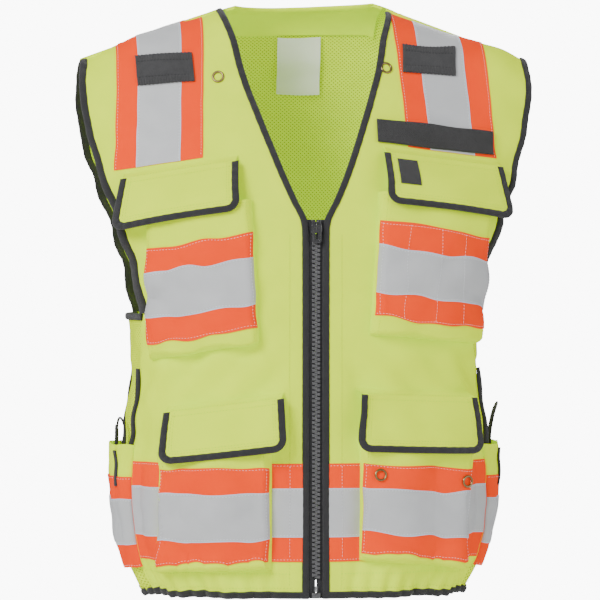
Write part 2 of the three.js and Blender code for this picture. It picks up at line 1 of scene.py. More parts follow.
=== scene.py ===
# High visibility work vest: lime cloth, orange and silver trim, black binding, zip front.
import math
import bmesh
import bpy
import numpy as np
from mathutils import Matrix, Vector


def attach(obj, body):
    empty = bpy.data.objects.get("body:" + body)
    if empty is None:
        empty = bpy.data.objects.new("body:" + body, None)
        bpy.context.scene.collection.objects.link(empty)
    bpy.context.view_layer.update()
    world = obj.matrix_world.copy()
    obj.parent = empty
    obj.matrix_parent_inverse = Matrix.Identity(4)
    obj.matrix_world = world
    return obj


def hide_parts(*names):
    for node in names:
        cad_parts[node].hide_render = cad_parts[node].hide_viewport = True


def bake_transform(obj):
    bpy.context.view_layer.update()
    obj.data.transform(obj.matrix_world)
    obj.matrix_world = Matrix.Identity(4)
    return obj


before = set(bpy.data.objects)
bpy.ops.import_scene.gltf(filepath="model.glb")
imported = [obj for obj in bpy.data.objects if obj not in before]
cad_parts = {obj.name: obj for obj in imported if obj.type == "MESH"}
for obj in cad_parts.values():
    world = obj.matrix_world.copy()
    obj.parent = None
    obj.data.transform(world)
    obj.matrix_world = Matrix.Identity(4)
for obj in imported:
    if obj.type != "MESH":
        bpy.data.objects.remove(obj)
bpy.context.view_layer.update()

# ---------------------------------------------------------------- camera, floor and light
# A long lens a little to the wearer's right of centre, a pale floor and a white surround. A soft
# lamp lights the vest from the front left, with weaker ones on the other side and behind.
view_azimuth = math.radians(-6)
view_elevation = math.radians(1)
camera_distance = 4.5
picture_width = 0.636
aim = np.array([-0.004, 0.0, -0.285])

backwards = np.array([
    math.sin(view_azimuth) * math.cos(view_elevation),
    -math.cos(view_azimuth) * math.cos(view_elevation),
    math.sin(view_elevation),
])
camera_data = bpy.data.cameras.new("camera")
camera_data.lens = camera_data.sensor_width * camera_distance / picture_width
camera = bpy.data.objects.new("camera", camera_data)
camera.location = aim + camera_distance * backwards
camera.rotation_euler = (math.pi / 2 - view_elevation, 0, view_azimuth)
bpy.context.collection.objects.link(camera)
bpy.context.scene.camera = camera

world = bpy.data.worlds.new("studio")
world.use_nodes = True
world_tree = world.node_tree
world_light = world_tree.nodes["Background"]
world_light.inputs["Color"].default_value = (1.0, 1.0, 1.0, 1)
world_light.inputs["Strength"].default_value = 0.54
backdrop = world_tree.nodes.new("ShaderNodeBackground")
backdrop.inputs["Strength"].default_value = 12.0
seen = world_tree.nodes.new("ShaderNodeLightPath")
choose = world_tree.nodes.new("ShaderNodeMixShader")
world_tree.links.new(seen.outputs["Is Camera Ray"], choose.inputs["Fac"])
world_tree.links.new(world_light.outputs["Background"], choose.inputs[1])
world_tree.links.new(backdrop.outputs["Background"], choose.inputs[2])
world_tree.links.new(choose.outputs["Shader"], world_tree.nodes["World Output"].inputs["Surface"])
bpy.context.scene.world = world


def add_lamp(name, place, size, power):
    """A square area lamp at a place, turned so that it faces the middle of the vest."""
    data = bpy.data.lights.new(name, "AREA")
    data.size = size
    data.energy = power
    lamp = bpy.data.objects.new(name, data)
    lamp.location = place
    away = lamp.location - Vector(aim)
    lamp.rotation_euler = away.to_track_quat("Z", "Y").to_euler()
    bpy.context.collection.objects.link(lamp)


add_lamp("key_lamp", (-1.9, -2.2, 1.2), 1.2, 104)
add_lamp("fill_lamp", (2.2, -2.0, 0.2), 1.8, 26)
add_lamp("back_lamp", (0.6, 2.6, 1.4), 1.8, 50)

floor_height = -0.95
floor_reach = 2.5
floor_mesh = bpy.data.meshes.new("floor")
floor_corners = [(-1, -1), (1, -1), (1, 1), (-1, 1)]
floor_mesh.from_pydata(
    [(x * floor_reach, y * floor_reach, floor_height) for x, y in floor_corners], [], [(0, 1, 2, 3)])
floor = bpy.data.objects.new("floor", floor_mesh)
bpy.context.collection.objects.link(floor)
floor_paint = bpy.data.materials.new("pale_floor")
floor_paint.use_nodes = True
floor_shader = floor_paint.node_tree.nodes["Principled BSDF"]
floor_shader.inputs["Base Color"].default_value = (0.9, 0.9, 0.9, 1)
floor_shader.inputs["Roughness"].default_value = 0.9
floor_mesh.materials.append(floor_paint)

# ---------------------------------------------------------------- side adjuster cords
# Loops of black braided elastic, about 2.5 mm thick. Each comes up from behind the hip band at
# the side and goes back down behind it, so both of its ends are sewn into the vest.
half_depth = 0.118
roundness = 2.3
neck_half_width = 0.087
neck_point = 0.022
shoulder_slope = 0.365
back_neck = 0.025
hem = -0.592
armhole_bottom = -0.300
side_seam = math.radians(70)
side_profile = [
    (-0.020, 0.236), (-0.060, 0.239), (-0.100, 0.234), (-0.150, 0.221), (-0.200, 0.203),
    (-0.250, 0.192), (-0.350, 0.184), (-0.400, 0.192), (-0.470, 0.197), (-0.530, 0.192),
    (-0.565, 0.183), (hem, 0.167),
]


def smooth_profile(points):
    """A curve through (height, value) points: each stretch is a cubic whose end slopes are those
    of the chord between the neighbours on both sides."""
    height, value = np.array(sorted(points)).T
    before = np.maximum(np.arange(len(height)) - 1, 0)
    after = np.minimum(np.arange(len(height)) + 1, len(height) - 1)
    slope = (value[after] - value[before]) / (height[after] - height[before])

    def curve(z):
        z = np.clip(z, height[0], height[-1])
        i = np.clip(np.searchsorted(height, z, side="right") - 1, 0, len(height) - 2)
        span = height[i + 1] - height[i]
        t = (z - height[i]) / span
        chord = (value[i + 1] - value[i]) / span
        bend = (1 - t) * slope[i] - t * slope[i + 1]
        return value[i] + t * span * chord + t * (1 - t) * span * (bend - (1 - 2 * t) * chord)
    return curve


def ease(value, start, end):
    """0 before start and 1 after end, with a smooth S between."""
    t = np.clip((value - start) / (end - start), 0, 1)
    return t * t * (3 - 2 * t)


side_width = smooth_profile(side_profile)


def beside_armhole(z):
    """0 below the armhole and 1 where the armhole has its full width."""
    return ease(z, armhole_bottom, -0.200)


def plan_half_width(z):
    """Half-width of the plan outline, 12 % wider beside the armhole than the cloth reaches."""
    return side_width(z) * (1 + 0.12 * beside_armhole(z))


def shoulder_height(x):
    """The shoulder line: straight from the neck out to the tip, and a low arch across the neck."""
    arch = (neck_half_width ** 2 - x ** 2) / (2 * neck_half_width)
    straight = neck_half_width - np.abs(x)
    return neck_point + shoulder_slope * np.where(np.abs(x) < neck_half_width, arch, straight)


def panel_edge(z):
    """Half-width of the front and back panels: the side seam low down, the armhole above it."""
    seam_share = math.sin(side_seam) ** (2 / roundness)
    share = seam_share + (1 / 1.12 - seam_share) * beside_armhole(z)
    return plan_half_width(z) * share


def quarter_round(t):
    """A quarter of a circle: up from 0 at t = 0 to level at t = 1."""
    return np.sqrt(np.maximum(1 - (1 - np.minimum(t, 1)) ** 2, 0))


def plain_point(bearing, z):
    """The smooth body: a squared ellipse in plan at each height, which closes to the shoulder
    line as a quarter round and then a long ease. Bearing 0 is the centre front."""
    across, along = np.sin(bearing), np.cos(bearing)
    x = plan_half_width(z) * np.sign(across) * np.abs(across) ** (2 / roundness)
    drop = np.maximum(shoulder_height(x) - z, 0)
    chest = 0.38 * quarter_round(drop / 0.050) + 0.62 * ease(drop, 0, 0.230)
    blades = 0.60 * quarter_round(drop / 0.040) + 0.40 * ease(drop, 0, 0.150)
    fill = np.where(along > 0, chest, blades)
    y = -half_depth * np.sign(along) * np.abs(along) ** (2 / roundness) * fill
    return np.stack([x, y, z + 0 * x], axis=-1)


def normal_of(surface, bearing, z, turn=0.004, rise=0.0004):
    """Outward normal from the differences between neighbouring points."""
    across = surface(bearing + turn, z) - surface(bearing - turn, z)
    up = surface(bearing, z + rise) - surface(bearing, z - rise)
    normal = np.cross(across, up)
    return normal / np.linalg.norm(normal, axis=-1, keepdims=True)


def soft_waves(a, b, size, seed, count=7):
    """Gentle unevenness: the mean of plane waves about size long, in seeded random directions."""
    dice = np.random.default_rng(seed)
    total = 0
    for turn, start, stretch in dice.random((count, 3)):
        angle = 2 * math.pi * turn
        reach = size * (0.7 + 0.8 * stretch)
        total = total + np.sin(
            2 * math.pi * ((a * math.cos(angle) + b * math.sin(angle)) / reach + start))
    return total / math.sqrt(count)


def folds(bearing, z):
    """How far the cloth stands out of the smooth body: slack all over, gathers above the hem,
    pleats beside the pouches at the waist, and drags that run down from the armholes."""
    girth = 0.19 * bearing
    side = np.abs(np.abs(bearing) - math.pi / 2)
    front = ease(np.cos(bearing), -0.3, 0.3)
    slack = 0.0016 * soft_waves(girth, 0.6 * z, 0.09, 11)
    slack = slack + 0.0007 * soft_waves(girth, z, 0.035, 12)
    gather = np.exp(-((z - hem - 0.012) / 0.022) ** 2)
    crimp = np.sin(2 * math.pi * girth / 0.021 + 1.4 * np.sin(girth / 0.05))
    waist = ease(z, -0.575, -0.540) * (1 - ease(z, -0.470, -0.415))
    pleat_zone = waist * np.exp(-(side / 0.55) ** 2)
    pleat = np.abs(np.sin(math.pi * girth / 0.046 + 3 * z)) ** 0.7 - 0.6
    beside = ease(z, -0.34, -0.27) * (1 - ease(z, -0.16, -0.08))
    drag_zone = beside * ease(np.abs(np.sin(bearing)), 0.6, 0.9)
    drag = np.sin(2 * math.pi * (z + 0.35 * girth * np.sign(np.sin(bearing))) / 0.052)
    hang = 0.0030 * np.sin(2 * math.pi * girth / 0.085 + 2.0) * ease(-z, 0.30, 0.42) * front
    slanting = (0.8 * np.abs(girth) + 0.6 * z) / 0.047
    drawn = 0.0016 * np.sin(2 * math.pi * slanting + 1.5 * np.sin(z / 0.05))
    chest = ease(z, -0.43, -0.38) * (1 - ease(z, -0.37, -0.30)) * front
    centre = ease(np.abs(girth), 0.012, 0.040)
    hung = slack + hang + drawn * chest + 0.0020 * drag_zone * drag + 0.0018 * gather * crimp
    return hung * centre + 0.0045 * pleat_zone * pleat


def body_point(bearing, z):
    """The smooth body with its folds pushed out along the normal."""
    plain = plain_point(bearing, z)
    return plain + normal_of(plain_point, bearing, z) * folds(bearing, z)[..., None]


def lifted(bearing, z, lift):
    """A point at a height above the cloth's inner face, along its normal."""
    bearing, z, lift = np.broadcast_arrays(*(np.asarray(v, float) for v in (bearing, z, lift)))
    return body_point(bearing, z) + normal_of(body_point, bearing, z) * lift[..., None]


def bearing_at(x, z, on_back=False):
    """Bearing of the point at a distance x from the centre line, on the front or the back."""
    share = np.minimum(np.abs(x) / plan_half_width(z), 1)
    bearing = np.arcsin(share ** (roundness / 2)) * np.sign(x)
    return math.pi - bearing if on_back else bearing


def link_mesh(name, mesh, sharp):
    """An object for a mesh, shaded smooth except where faces meet at more than an angle."""
    mesh.polygons.foreach_set("use_smooth", np.ones(len(mesh.polygons), bool))
    mesh.set_sharp_from_angle(angle=math.radians(sharp))
    piece = bpy.data.objects.new(name, mesh)
    bpy.context.collection.objects.link(piece)
    return piece


def add_mesh(name, points, faces, uv=None, sharp=50):
    """A mesh object from arrays of points and faces, with one UV pair for each face corner."""
    mesh = bpy.data.meshes.new(name)
    mesh.from_pydata(points.reshape(-1, 3).tolist(), [], faces.tolist())
    if uv is not None:
        layer = mesh.uv_layers.new(name="cloth")
        layer.data.foreach_set("uv", uv.astype(np.float32).ravel())
    return link_mesh(name, mesh, sharp)


def tube(name, path, radius, sides=12):
    """A round cord: a circle carried along the path in frames square to it, closed at both ends
    by a smaller ring and a face. UV runs along and around, in metres."""
    path = np.asarray(path, float)
    ahead = np.gradient(path, axis=0)
    ahead /= np.linalg.norm(ahead, axis=1, keepdims=True)
    aside = np.cross(ahead, [0.31, 0.17, 0.93])
    aside /= np.linalg.norm(aside, axis=1, keepdims=True)
    over = np.cross(ahead, aside)
    turn = np.arange(sides) * 2 * math.pi / sides
    circle = aside[:, None] * np.cos(turn)[:, None] + over[:, None] * np.sin(turn)[:, None]
    points = path[:, None] + radius * circle
    rings = len(path)
    ring, spot = np.meshgrid(np.arange(rings - 1), np.arange(sides), indexing="ij")
    beside = (spot + 1) % sides
    quads = np.stack([ring * sides + spot, ring * sides + beside,
                      (ring + 1) * sides + beside, (ring + 1) * sides + spot], -1).reshape(-1, 4)
    along = np.concatenate([[0], np.cumsum(np.linalg.norm(np.diff(path, axis=0), axis=1))])
    round_ = 2 * math.pi * radius / sides
    uv = np.stack([
        np.stack([along[ring], spot * round_], -1), np.stack([along[ring], (spot + 1) * round_], -1),
        np.stack([along[ring + 1], (spot + 1) * round_], -1),
        np.stack([along[ring + 1], spot * round_], -1)], -2).reshape(-1, 2)
    piece = add_mesh(name, points, quads, uv)
    mesh = piece.data
    work = bmesh.new()
    work.from_mesh(mesh)
    work.verts.ensure_lookup_table()
    work.faces.new([work.verts[i] for i in range(sides)][::-1])
    work.faces.new([work.verts[(rings - 1) * sides + i] for i in range(sides)])
    bmesh.ops.recalc_face_normals(work, faces=work.faces)
    work.to_mesh(mesh)
    work.free()
    return piece


def curve_through(points, count):
    """Catmull-Rom curve: each stretch is a cubic whose end slopes follow the next points."""
    points = np.asarray(points, float)
    padded = np.vstack([2 * points[0] - points[1], points, 2 * points[-1] - points[-2]])
    where = np.linspace(0, len(points) - 1, count)
    i = np.minimum(where.astype(int), len(points) - 2)
    t = (where - i)[:, None]
    a, b, c, d = padded[i], padded[i + 1], padded[i + 2], padded[i + 3]
    return 0.5 * (2 * b + (c - a) * t + (2 * a - 5 * b + 4 * c - d) * t ** 2
                  + (3 * b - a - 3 * c + d) * t ** 3)


def add_group(name, inputs, outputs):
    """An empty shader node group with float or colour sockets, given as (name, kind, value)."""
    group = bpy.data.node_groups.new(name, "ShaderNodeTree")
    for socket, kind, value in inputs:
        made = group.interface.new_socket(socket, in_out="INPUT", socket_type=f"NodeSocket{kind}")
        made.default_value = value
    for socket, kind in outputs:
        group.interface.new_socket(socket, in_out="OUTPUT", socket_type=f"NodeSocket{kind}")
    return group, group.nodes.new("NodeGroupInput"), group.nodes.new("NodeGroupOutput")


def math_node(tree, operation, first, second=0.0):
    """A Math node: each operand is a number or an output socket."""
    node = tree.nodes.new("ShaderNodeMath")
    node.operation = operation
    for socket, value in zip(node.inputs, (first, second)):
        if isinstance(value, (int, float)):
            socket.default_value = value
        else:
            tree.links.new(value, socket)
    return node.outputs[0]


def weave_effect():
    """Plain weave: threads cross over and under, as the product of two sines along the UV map,
    with a fine fibre noise laid over it."""
    group, given, result = add_group(
        "plain_weave", [("Pitch", "Float", 0.0012), ("Fibre", "Float", 0.3)], [("Height", "Float")])
    uv = group.nodes.new("ShaderNodeUVMap")
    split = group.nodes.new("ShaderNodeSeparateXYZ")
    group.links.new(uv.outputs["UV"], split.inputs[0])
    waves = []
    for axis in ("X", "Y"):
        turns = math_node(group, "DIVIDE", split.outputs[axis], given.outputs["Pitch"])
        waves.append(math_node(group, "SINE", math_node(group, "MULTIPLY", turns, 2 * math.pi)))
    crossing = math_node(group, "MULTIPLY", *waves)
    fibre = group.nodes.new("ShaderNodeTexNoise")
    fibre.inputs["Scale"].default_value = 1800
    group.links.new(uv.outputs["UV"], fibre.inputs["Vector"])
    fuzz = math_node(group, "MULTIPLY", fibre.outputs["Fac"], given.outputs["Fibre"])
    group.links.new(math_node(group, "ADD", crossing, fuzz), result.inputs["Height"])
    return group


def tone_effect():
    """Cloth is never one flat colour: a slow noise over the object moves it between two tones."""
    group, given, result = add_group(
        "tone", [("Light", "Color", (1, 1, 1, 1)), ("Shade", "Color", (0, 0, 0, 1)),
                 ("Size", "Float", 30.0)], [("Color", "Color")])
    place = group.nodes.new("ShaderNodeTexCoord")
    noise = group.nodes.new("ShaderNodeTexNoise")
    noise.inputs["Detail"].default_value = 5
    group.links.new(place.outputs["Object"], noise.inputs["Vector"])
    group.links.new(given.outputs["Size"], noise.inputs["Scale"])
    mix = group.nodes.new("ShaderNodeMix")
    mix.data_type = "RGBA"
    group.links.new(noise.outputs["Fac"], mix.inputs["Factor"])
    group.links.new(given.outputs["Light"], mix.inputs["A"])
    group.links.new(given.outputs["Shade"], mix.inputs["B"])
    group.links.new(mix.outputs["Result"], result.inputs["Color"])
    return group


plain_weave = weave_effect()
tone = tone_effect()


def two_tones(tree, light, shade, size):
    """The tone effect in a material's tree, given its two colours and the size of its patches."""
    colour = tree.nodes.new("ShaderNodeGroup")
    colour.node_tree = tone
    colour.inputs["Light"].default_value = (*light, 1)
    colour.inputs["Shade"].default_value = (*shade, 1)
    colour.inputs["Size"].default_value = size
    return colour.outputs["Color"]


def cloth_material(name, light, shade, roughness=0.9, pitch=0.0012, depth=0.00010, fibre=0.3,
                   size=30.0, sheen=0.15, shine=0.25, glow=0.0):
    """A woven cloth: two tones, a weave that is felt as bump, sheen, and a painted glow that stands in
    for the brightness of a fluorescent dye: a little emission of its own colour, which shines with no
    lamp on it."""
    material = bpy.data.materials.new(name)
    material.use_nodes = True
    tree = material.node_tree
    shader = tree.nodes["Principled BSDF"]
    colour = two_tones(tree, light, shade, size)
    weave = tree.nodes.new("ShaderNodeGroup")
    weave.node_tree = plain_weave
    weave.inputs["Pitch"].default_value = pitch
    weave.inputs["Fibre"].default_value = fibre
    bump = tree.nodes.new("ShaderNodeBump")
    bump.inputs["Distance"].default_value = depth
    tree.links.new(weave.outputs["Height"], bump.inputs["Height"])
    tree.links.new(bump.outputs["Normal"], shader.inputs["Normal"])
    tree.links.new(colour, shader.inputs["Base Color"])
    shader.inputs["Roughness"].default_value = roughness
    shader.inputs["Sheen Weight"].default_value = sheen
    shader.inputs["Specular IOR Level"].default_value = shine
    # Painted glow: the cloth's own colour as emission, shining with no lamp on it.
    if glow:
        tree.links.new(colour, shader.inputs["Emission Color"])
        shader.inputs["Emission Strength"].default_value = glow
    return material


cord_diameter = 0.0025
cord_braid = cloth_material("cord_braid", (0.030, 0.030, 0.032), (0.012, 0.012, 0.013),
                            roughness=0.6, pitch=0.0016, depth=0.0003, size=200)
cord_loops = {
    "side_cord_right": (-1, [
        (88, -0.440, 0.0039), (88.5, -0.428, 0.0042), (87.5, -0.417, 0.0048), (84.5, -0.4105, 0.0054),
        (81, -0.4085, 0.0056), (77.5, -0.411, 0.0054), (75, -0.418, 0.0048), (74.2, -0.428, 0.0042),
        (74, -0.440, 0.0039)]),
    "side_cord_right_short": (-1, [
        (101, -0.440, 0.0039), (101.2, -0.430, 0.0042), (100, -0.422, 0.0048), (97, -0.4185, 0.0052),
        (94, -0.422, 0.0048), (92.8, -0.430, 0.0042), (93, -0.440, 0.0039)]),
    "side_cord_left": (1, [
        (76, -0.440, 0.0039), (76.3, -0.428, 0.0046), (77.5, -0.416, 0.007), (80, -0.405, 0.010),
        (83.5, -0.398, 0.013), (87.5, -0.396, 0.0145), (91, -0.400, 0.013), (93, -0.409, 0.010),
        (93.8, -0.420, 0.007), (94, -0.430, 0.0046), (94, -0.440, 0.0039)]),
    "side_cord_left_short": (1, [
        (98, -0.440, 0.0039), (98.3, -0.428, 0.0046), (100, -0.419, 0.0065), (103, -0.4145, 0.0075),
        (106, -0.419, 0.0065), (107.7, -0.428, 0.0046), (108, -0.440, 0.0039)]),
}
for node, (side, route) in cord_loops.items():
    bearing, z, lift = np.array(route).T
    bearing = side * np.radians(bearing)
    stops = plain_point(bearing, z) + normal_of(plain_point, bearing, z) * lift[:, None]
    path = curve_through(stops, 48)
    loop = tube(f"{node}_braid", path, cord_diameter / 2)
    loop.data.materials.append(cord_braid)
    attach(loop, "back")
    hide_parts(node)
    length = float(np.linalg.norm(np.diff(path, axis=0), axis=1).sum())

# ---------------------------------------------------------------- back panel
# Knitted lime mesh from the shoulder seams to the hem. It is sewn to the fronts along the
# shoulders and to the side gussets, and its raw edges are closed by black binding.
lime_light, lime_shade = (0.76, 1.0, 0.003), (0.66, 0.88, 0.002)
# Strength of the painted glow: emission in the cloths' own colours that shines with no lamp on it.
painted_glow_strength = 0.20
shell_lift = (0.0002, 0.0011)
row_spacing = 1.7
top_rounds = 8


def facing_out(points, faces):
    """The faces of a closed surface, turned round if the volume they enclose comes out negative."""
    corners = points.reshape(-1, 3)[faces]
    spread = np.cross(corners[:, 1], corners[:, 2])
    if faces.shape[1] == 4:
        spread = spread + np.cross(corners[:, 2], corners[:, 3])
    volume = np.einsum("ij,ij->", corners[:, 0], spread)
    return faces[:, ::-1] if volume < 0 else faces


def closed_grid(name, under, over):
    """A thin closed piece from two grids of points, rows running down and columns across, joined
    by walls round their edges. UV is the mean distance across and down the cloth, in metres."""
    rows, columns = over.shape[:2]
    count = rows * columns
    points = np.concatenate([over.reshape(-1, 3), under.reshape(-1, 3)])
    row, column = np.meshgrid(np.arange(rows - 1), np.arange(columns - 1), indexing="ij")
    a = row * columns + column
    top = np.stack([a, a + columns, a + columns + 1, a + 1], -1).reshape(-1, 4)
    border = np.concatenate([
        np.arange(columns - 1), np.arange(rows - 1) * columns + columns - 1,
        (rows - 1) * columns + np.arange(columns - 1, 0, -1), np.arange(rows - 1, 0, -1) * columns])
    following = np.roll(border, -1)
    walls = np.stack([border, following, following + count, border + count], -1)
    faces = facing_out(points, np.concatenate([top, top[:, ::-1] + count, walls]))
    across = np.linalg.norm(np.diff(over, axis=1), axis=2).mean(0)
    down = np.linalg.norm(np.diff(over, axis=0), axis=2).mean(1)
    u, v = np.meshgrid(np.append(0, np.cumsum(across)), -np.append(0, np.cumsum(down)))
    uv = np.stack([u.ravel(), v.ravel()], -1)
    return add_mesh(name, points, faces, uv[(faces % count).ravel()])


def on_cloth(name, bearing, z, under, over):
    """A piece lying on the vest between two lifts, each a number or a grid of them."""
    return closed_grid(name, lifted(bearing, z, under), lifted(bearing, z, over))


def grid(columns, rows):
    """Two parameters, u across and v down, each from 0 to 1, on a grid of points."""
    return np.meshgrid(np.linspace(0, 1, columns), np.linspace(0, 1, rows))


def panel(u, v, inner, outer, top, bottom):
    """Distances across and heights of a panel between an inner and an outer edge, both functions
    of height. Rows start at the top line, which is found in a few rounds because the edges depend
    on the height, crowd together near it, and end at the bottom."""
    z = top(inner(0 * u) + (outer(0 * u) - inner(0 * u)) * u)
    for _ in range(top_rounds):
        z = top(inner(z) + (outer(z) - inner(z)) * u)
    z = z + (bottom - z) * v ** row_spacing
    return inner(z) + (outer(z) - inner(z)) * u, z


def declare_cloth(piece):
    """Reads a sheet's points and its UV map into arrays, and does nothing more with them."""
    mesh = piece.data
    points = np.empty(len(mesh.vertices) * 3)
    mesh.vertices.foreach_get("co", points)
    uv = np.empty(len(mesh.loops) * 2)
    mesh.uv_layers[0].data.foreach_get("uv", uv)


def dress(piece, material, slot, *nodes):
    """Gives a piece its material and hides the CAD nodes that it stands for. The slot is not used."""
    piece.data.materials.append(material)
    if nodes:
        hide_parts(*nodes)
    return piece


def mesh_holes_effect():
    """Knitted mesh: round holes on a square lattice turned by 45 degrees. Mask is 1 in a hole."""
    group, given, result = add_group(
        "mesh_holes", [("Pitch", "Float", 0.004), ("Hole", "Float", 0.28)],
        [("Mask", "Float"), ("Height", "Float")])
    uv = group.nodes.new("ShaderNodeUVMap")
    turned = group.nodes.new("ShaderNodeVectorRotate")
    turned.rotation_type = "Z_AXIS"
    turned.inputs["Angle"].default_value = math.pi / 4
    group.links.new(uv.outputs["UV"], turned.inputs["Vector"])
    cells = group.nodes.new("ShaderNodeTexVoronoi")
    cells.voronoi_dimensions = "2D"
    cells.inputs["Randomness"].default_value = 0
    group.links.new(turned.outputs["Vector"], cells.inputs["Vector"])
    group.links.new(math_node(group, "DIVIDE", math.sqrt(2), given.outputs["Pitch"]),
                    cells.inputs["Scale"])
    inside = math_node(group, "SUBTRACT", given.outputs["Hole"], cells.outputs["Distance"])
    soft = group.nodes.new("ShaderNodeMapRange")
    soft.inputs["From Min"].default_value = -0.06
    soft.inputs["From Max"].default_value = 0.06
    group.links.new(inside, soft.inputs["Value"])
    group.links.new(soft.outputs["Result"], result.inputs["Mask"])
    group.links.new(math_node(group, "MULTIPLY", soft.outputs["Result"], -1.0), result.inputs["Height"])
    return group


mesh_holes = mesh_holes_effect()


def mix_into_colour(tree, factor, given, colour, free):
    """Mixes a constant colour, on one input of a Mix node, with the shader's own colour."""
    shader = tree.nodes["Principled BSDF"]
    mix = tree.nodes.new("ShaderNodeMix")
    mix.data_type = "RGBA"
    mix.inputs[given].default_value = (*colour, 1)
    tree.links.new(factor, mix.inputs["Factor"])
    tree.links.new(shader.inputs["Base Color"].links[0].from_socket, mix.inputs[free])
    tree.links.new(mix.outputs["Result"], shader.inputs["Base Color"])
    return mix.outputs["Result"]


def mesh_material(name, light, shade, hole):
    """Cloth with the mesh's holes: painted shade in each hole, where the darker hole colour is mixed
    in, and sunk there.
    """
    material = cloth_material(name, light, shade, depth=0.0001, sheen=0, shine=0.05, glow=painted_glow_strength)
    tree = material.node_tree
    shader = tree.nodes["Principled BSDF"]
    holes = tree.nodes.new("ShaderNodeGroup")
    holes.node_tree = mesh_holes
    # Painted shade: the darker hole colour is mixed into the colour and the glow where the mask is 1.
    mixed = mix_into_colour(tree, holes.outputs["Mask"], "B", hole, "A")
    tree.links.new(mixed, shader.inputs["Emission Color"])
    bump = tree.nodes.new("ShaderNodeBump")
    bump.inputs["Distance"].default_value = 0.0004
    tree.links.new(holes.outputs["Height"], bump.inputs["Height"])
    tree.links.new(shader.inputs["Normal"].links[0].from_socket, bump.inputs["Normal"])
    tree.links.new(bump.outputs["Normal"], shader.inputs["Normal"])
    return material


lime_cloth = cloth_material("lime_cloth", lime_light, lime_shade, sheen=0, shine=0.05,
                            glow=painted_glow_strength)
# The third colour is painted shade: a darker lime that stands for the shade seen through each hole.
lime_mesh = mesh_material("lime_mesh", lime_light, lime_shade, (0.40, 0.50, 0.004))

binding_width = 0.0075
tuck = 0.003


def shoulder_top(x):
    """Where front and back meet: the shoulder line."""
    return shoulder_height(x) - 0.00001


def armhole_tuck(z):
    """The panel's edge ends inside the armhole binding, and at the seam line below the armhole."""
    return panel_edge(z) - tuck * ease(z, armhole_bottom - 0.02, armhole_bottom)


u, v = grid(170, 170)
x, z = panel(u, v, lambda z: -armhole_tuck(z), armhole_tuck,
             lambda x: np.minimum(shoulder_top(x), back_neck), hem + tuck)
back_panel = dress(on_cloth("back_mesh_panel", bearing_at(x, z, True), z, *shell_lift), lime_mesh,
                   "lime_mesh", "back_panel")
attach(back_panel, "back")
declare_cloth(back_panel)

# ---------------------------------------------------------------- back neck facing and label
# A strip of plain lime cloth turned over the back of the neck and sewn down inside, with a seam
# near its top, and below it a blank satin care label caught in the seam.
facing_depth = 0.027
u, v = grid(80, 20)
x = (2 * u - 1) * (neck_half_width - 0.004)
z = np.minimum(back_neck + 0.0012, shoulder_top(x)) - facing_depth * v
facing = dress(on_cloth("neck_facing", bearing_at(x, z, True), z, -0.0022, -0.0008 + 0.0004 * v),
               lime_cloth, "lime_cloth", "back_neck_facing")
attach(facing, "back")
declare_cloth(facing)

u, v = grid(60, 7)
x = (2 * u - 1) * (neck_half_width - 0.003)
z = np.minimum(back_neck + 0.002, shoulder_top(x)) - 0.004 * v
round_over = np.sqrt(np.maximum(1 - (2 * v - 1) ** 2, 0))
roll = dress(on_cloth("neck_roll", bearing_at(x, z, True), z, -0.0006 - 0.0020 * round_over,
                      0.0010 + 0.0012 * round_over), lime_cloth, "lime_cloth")
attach(roll, "back")

label_satin = cloth_material("label_satin", (0.94, 0.94, 0.96), (0.88, 0.88, 0.91), roughness=0.5,
                             pitch=0.0005, depth=0.00004, sheen=0.0)
u, v = grid(24, 30)
z = back_neck - 0.028 - 0.060 * v - 0.0008 * np.sin(math.pi * u)
x = 0.003 + 0.047 * (u - 0.5) + 0.0015 * v
curl = 0.0015 * v ** 3 + 0.0006 * np.sin(5 * u + 4 * v)
label = dress(on_cloth("care_label_satin", bearing_at(x, z, True), z, -0.0034 - curl, -0.0029 - curl),
              label_satin, "label_satin", "care_label")
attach(label, "back")
declare_cloth(label)

# ---------------------------------------------------------------- front panels
# Two fronts of plain lime cloth, from the shoulder seam to the hem, each with its own half of the zip.
sides = (("right", -1), ("left", 1))
zip_edge = 0.007
zip_top = -0.200
neck_edge = smooth_profile([
    (neck_point, neck_half_width), (-0.010, 0.076), (-0.046, 0.068), (-0.089, 0.054),
    (-0.147, 0.033), (-0.180, 0.019), (zip_top, 0.009), (-0.216, zip_edge), (hem, zip_edge)])


def hang_on_front(piece):
    """Bakes the piece's transform into its mesh."""
    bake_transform(piece)
    return piece


for side_name, side in sides:
    u, v = grid(96, 190)
    x, z = panel(u, v, lambda z: neck_edge(z) + tuck, armhole_tuck, shoulder_top, hem + tuck)
    front = dress(on_cloth(f"front_cloth_{side_name}", bearing_at(side * x, z), z, *shell_lift),
                  lime_cloth, "lime_cloth", f"front_panel_{side_name}")
    hang_on_front(front)
    declare_cloth(front)

seam_half_width = 0.0045
for side_name, side in sides:
    u, v = grid(60, 12)
    tip = float(panel_edge(np.array([-0.030]))[0])
    x = neck_half_width + 0.001 + (tip - 0.001 - neck_half_width) * u
    y = seam_half_width * (2 * v - 1)
    ridge = shoulder_height(x) - 0.0012 * (2 * v - 1) ** 2
    under, over = (np.stack([side * x, y, ridge + rise], -1) for rise in (-0.0002, 0.0024))
    seam = dress(closed_grid(f"shoulder_seam_{side_name}", under, over), lime_cloth, "lime_cloth")
    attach(seam, "back")

# ---------------------------------------------------------------- black binding
# Folded polyester tape, 7.5 mm wide, sewn over every raw edge: the V of the neck and down both
# sides of the zip, the armholes, and the hem.
black_tape = cloth_material("black_tape", (0.034, 0.034, 0.036), (0.018, 0.018, 0.020),
                            roughness=0.75, pitch=0.0011, depth=0.0002, fibre=0.5, size=120)


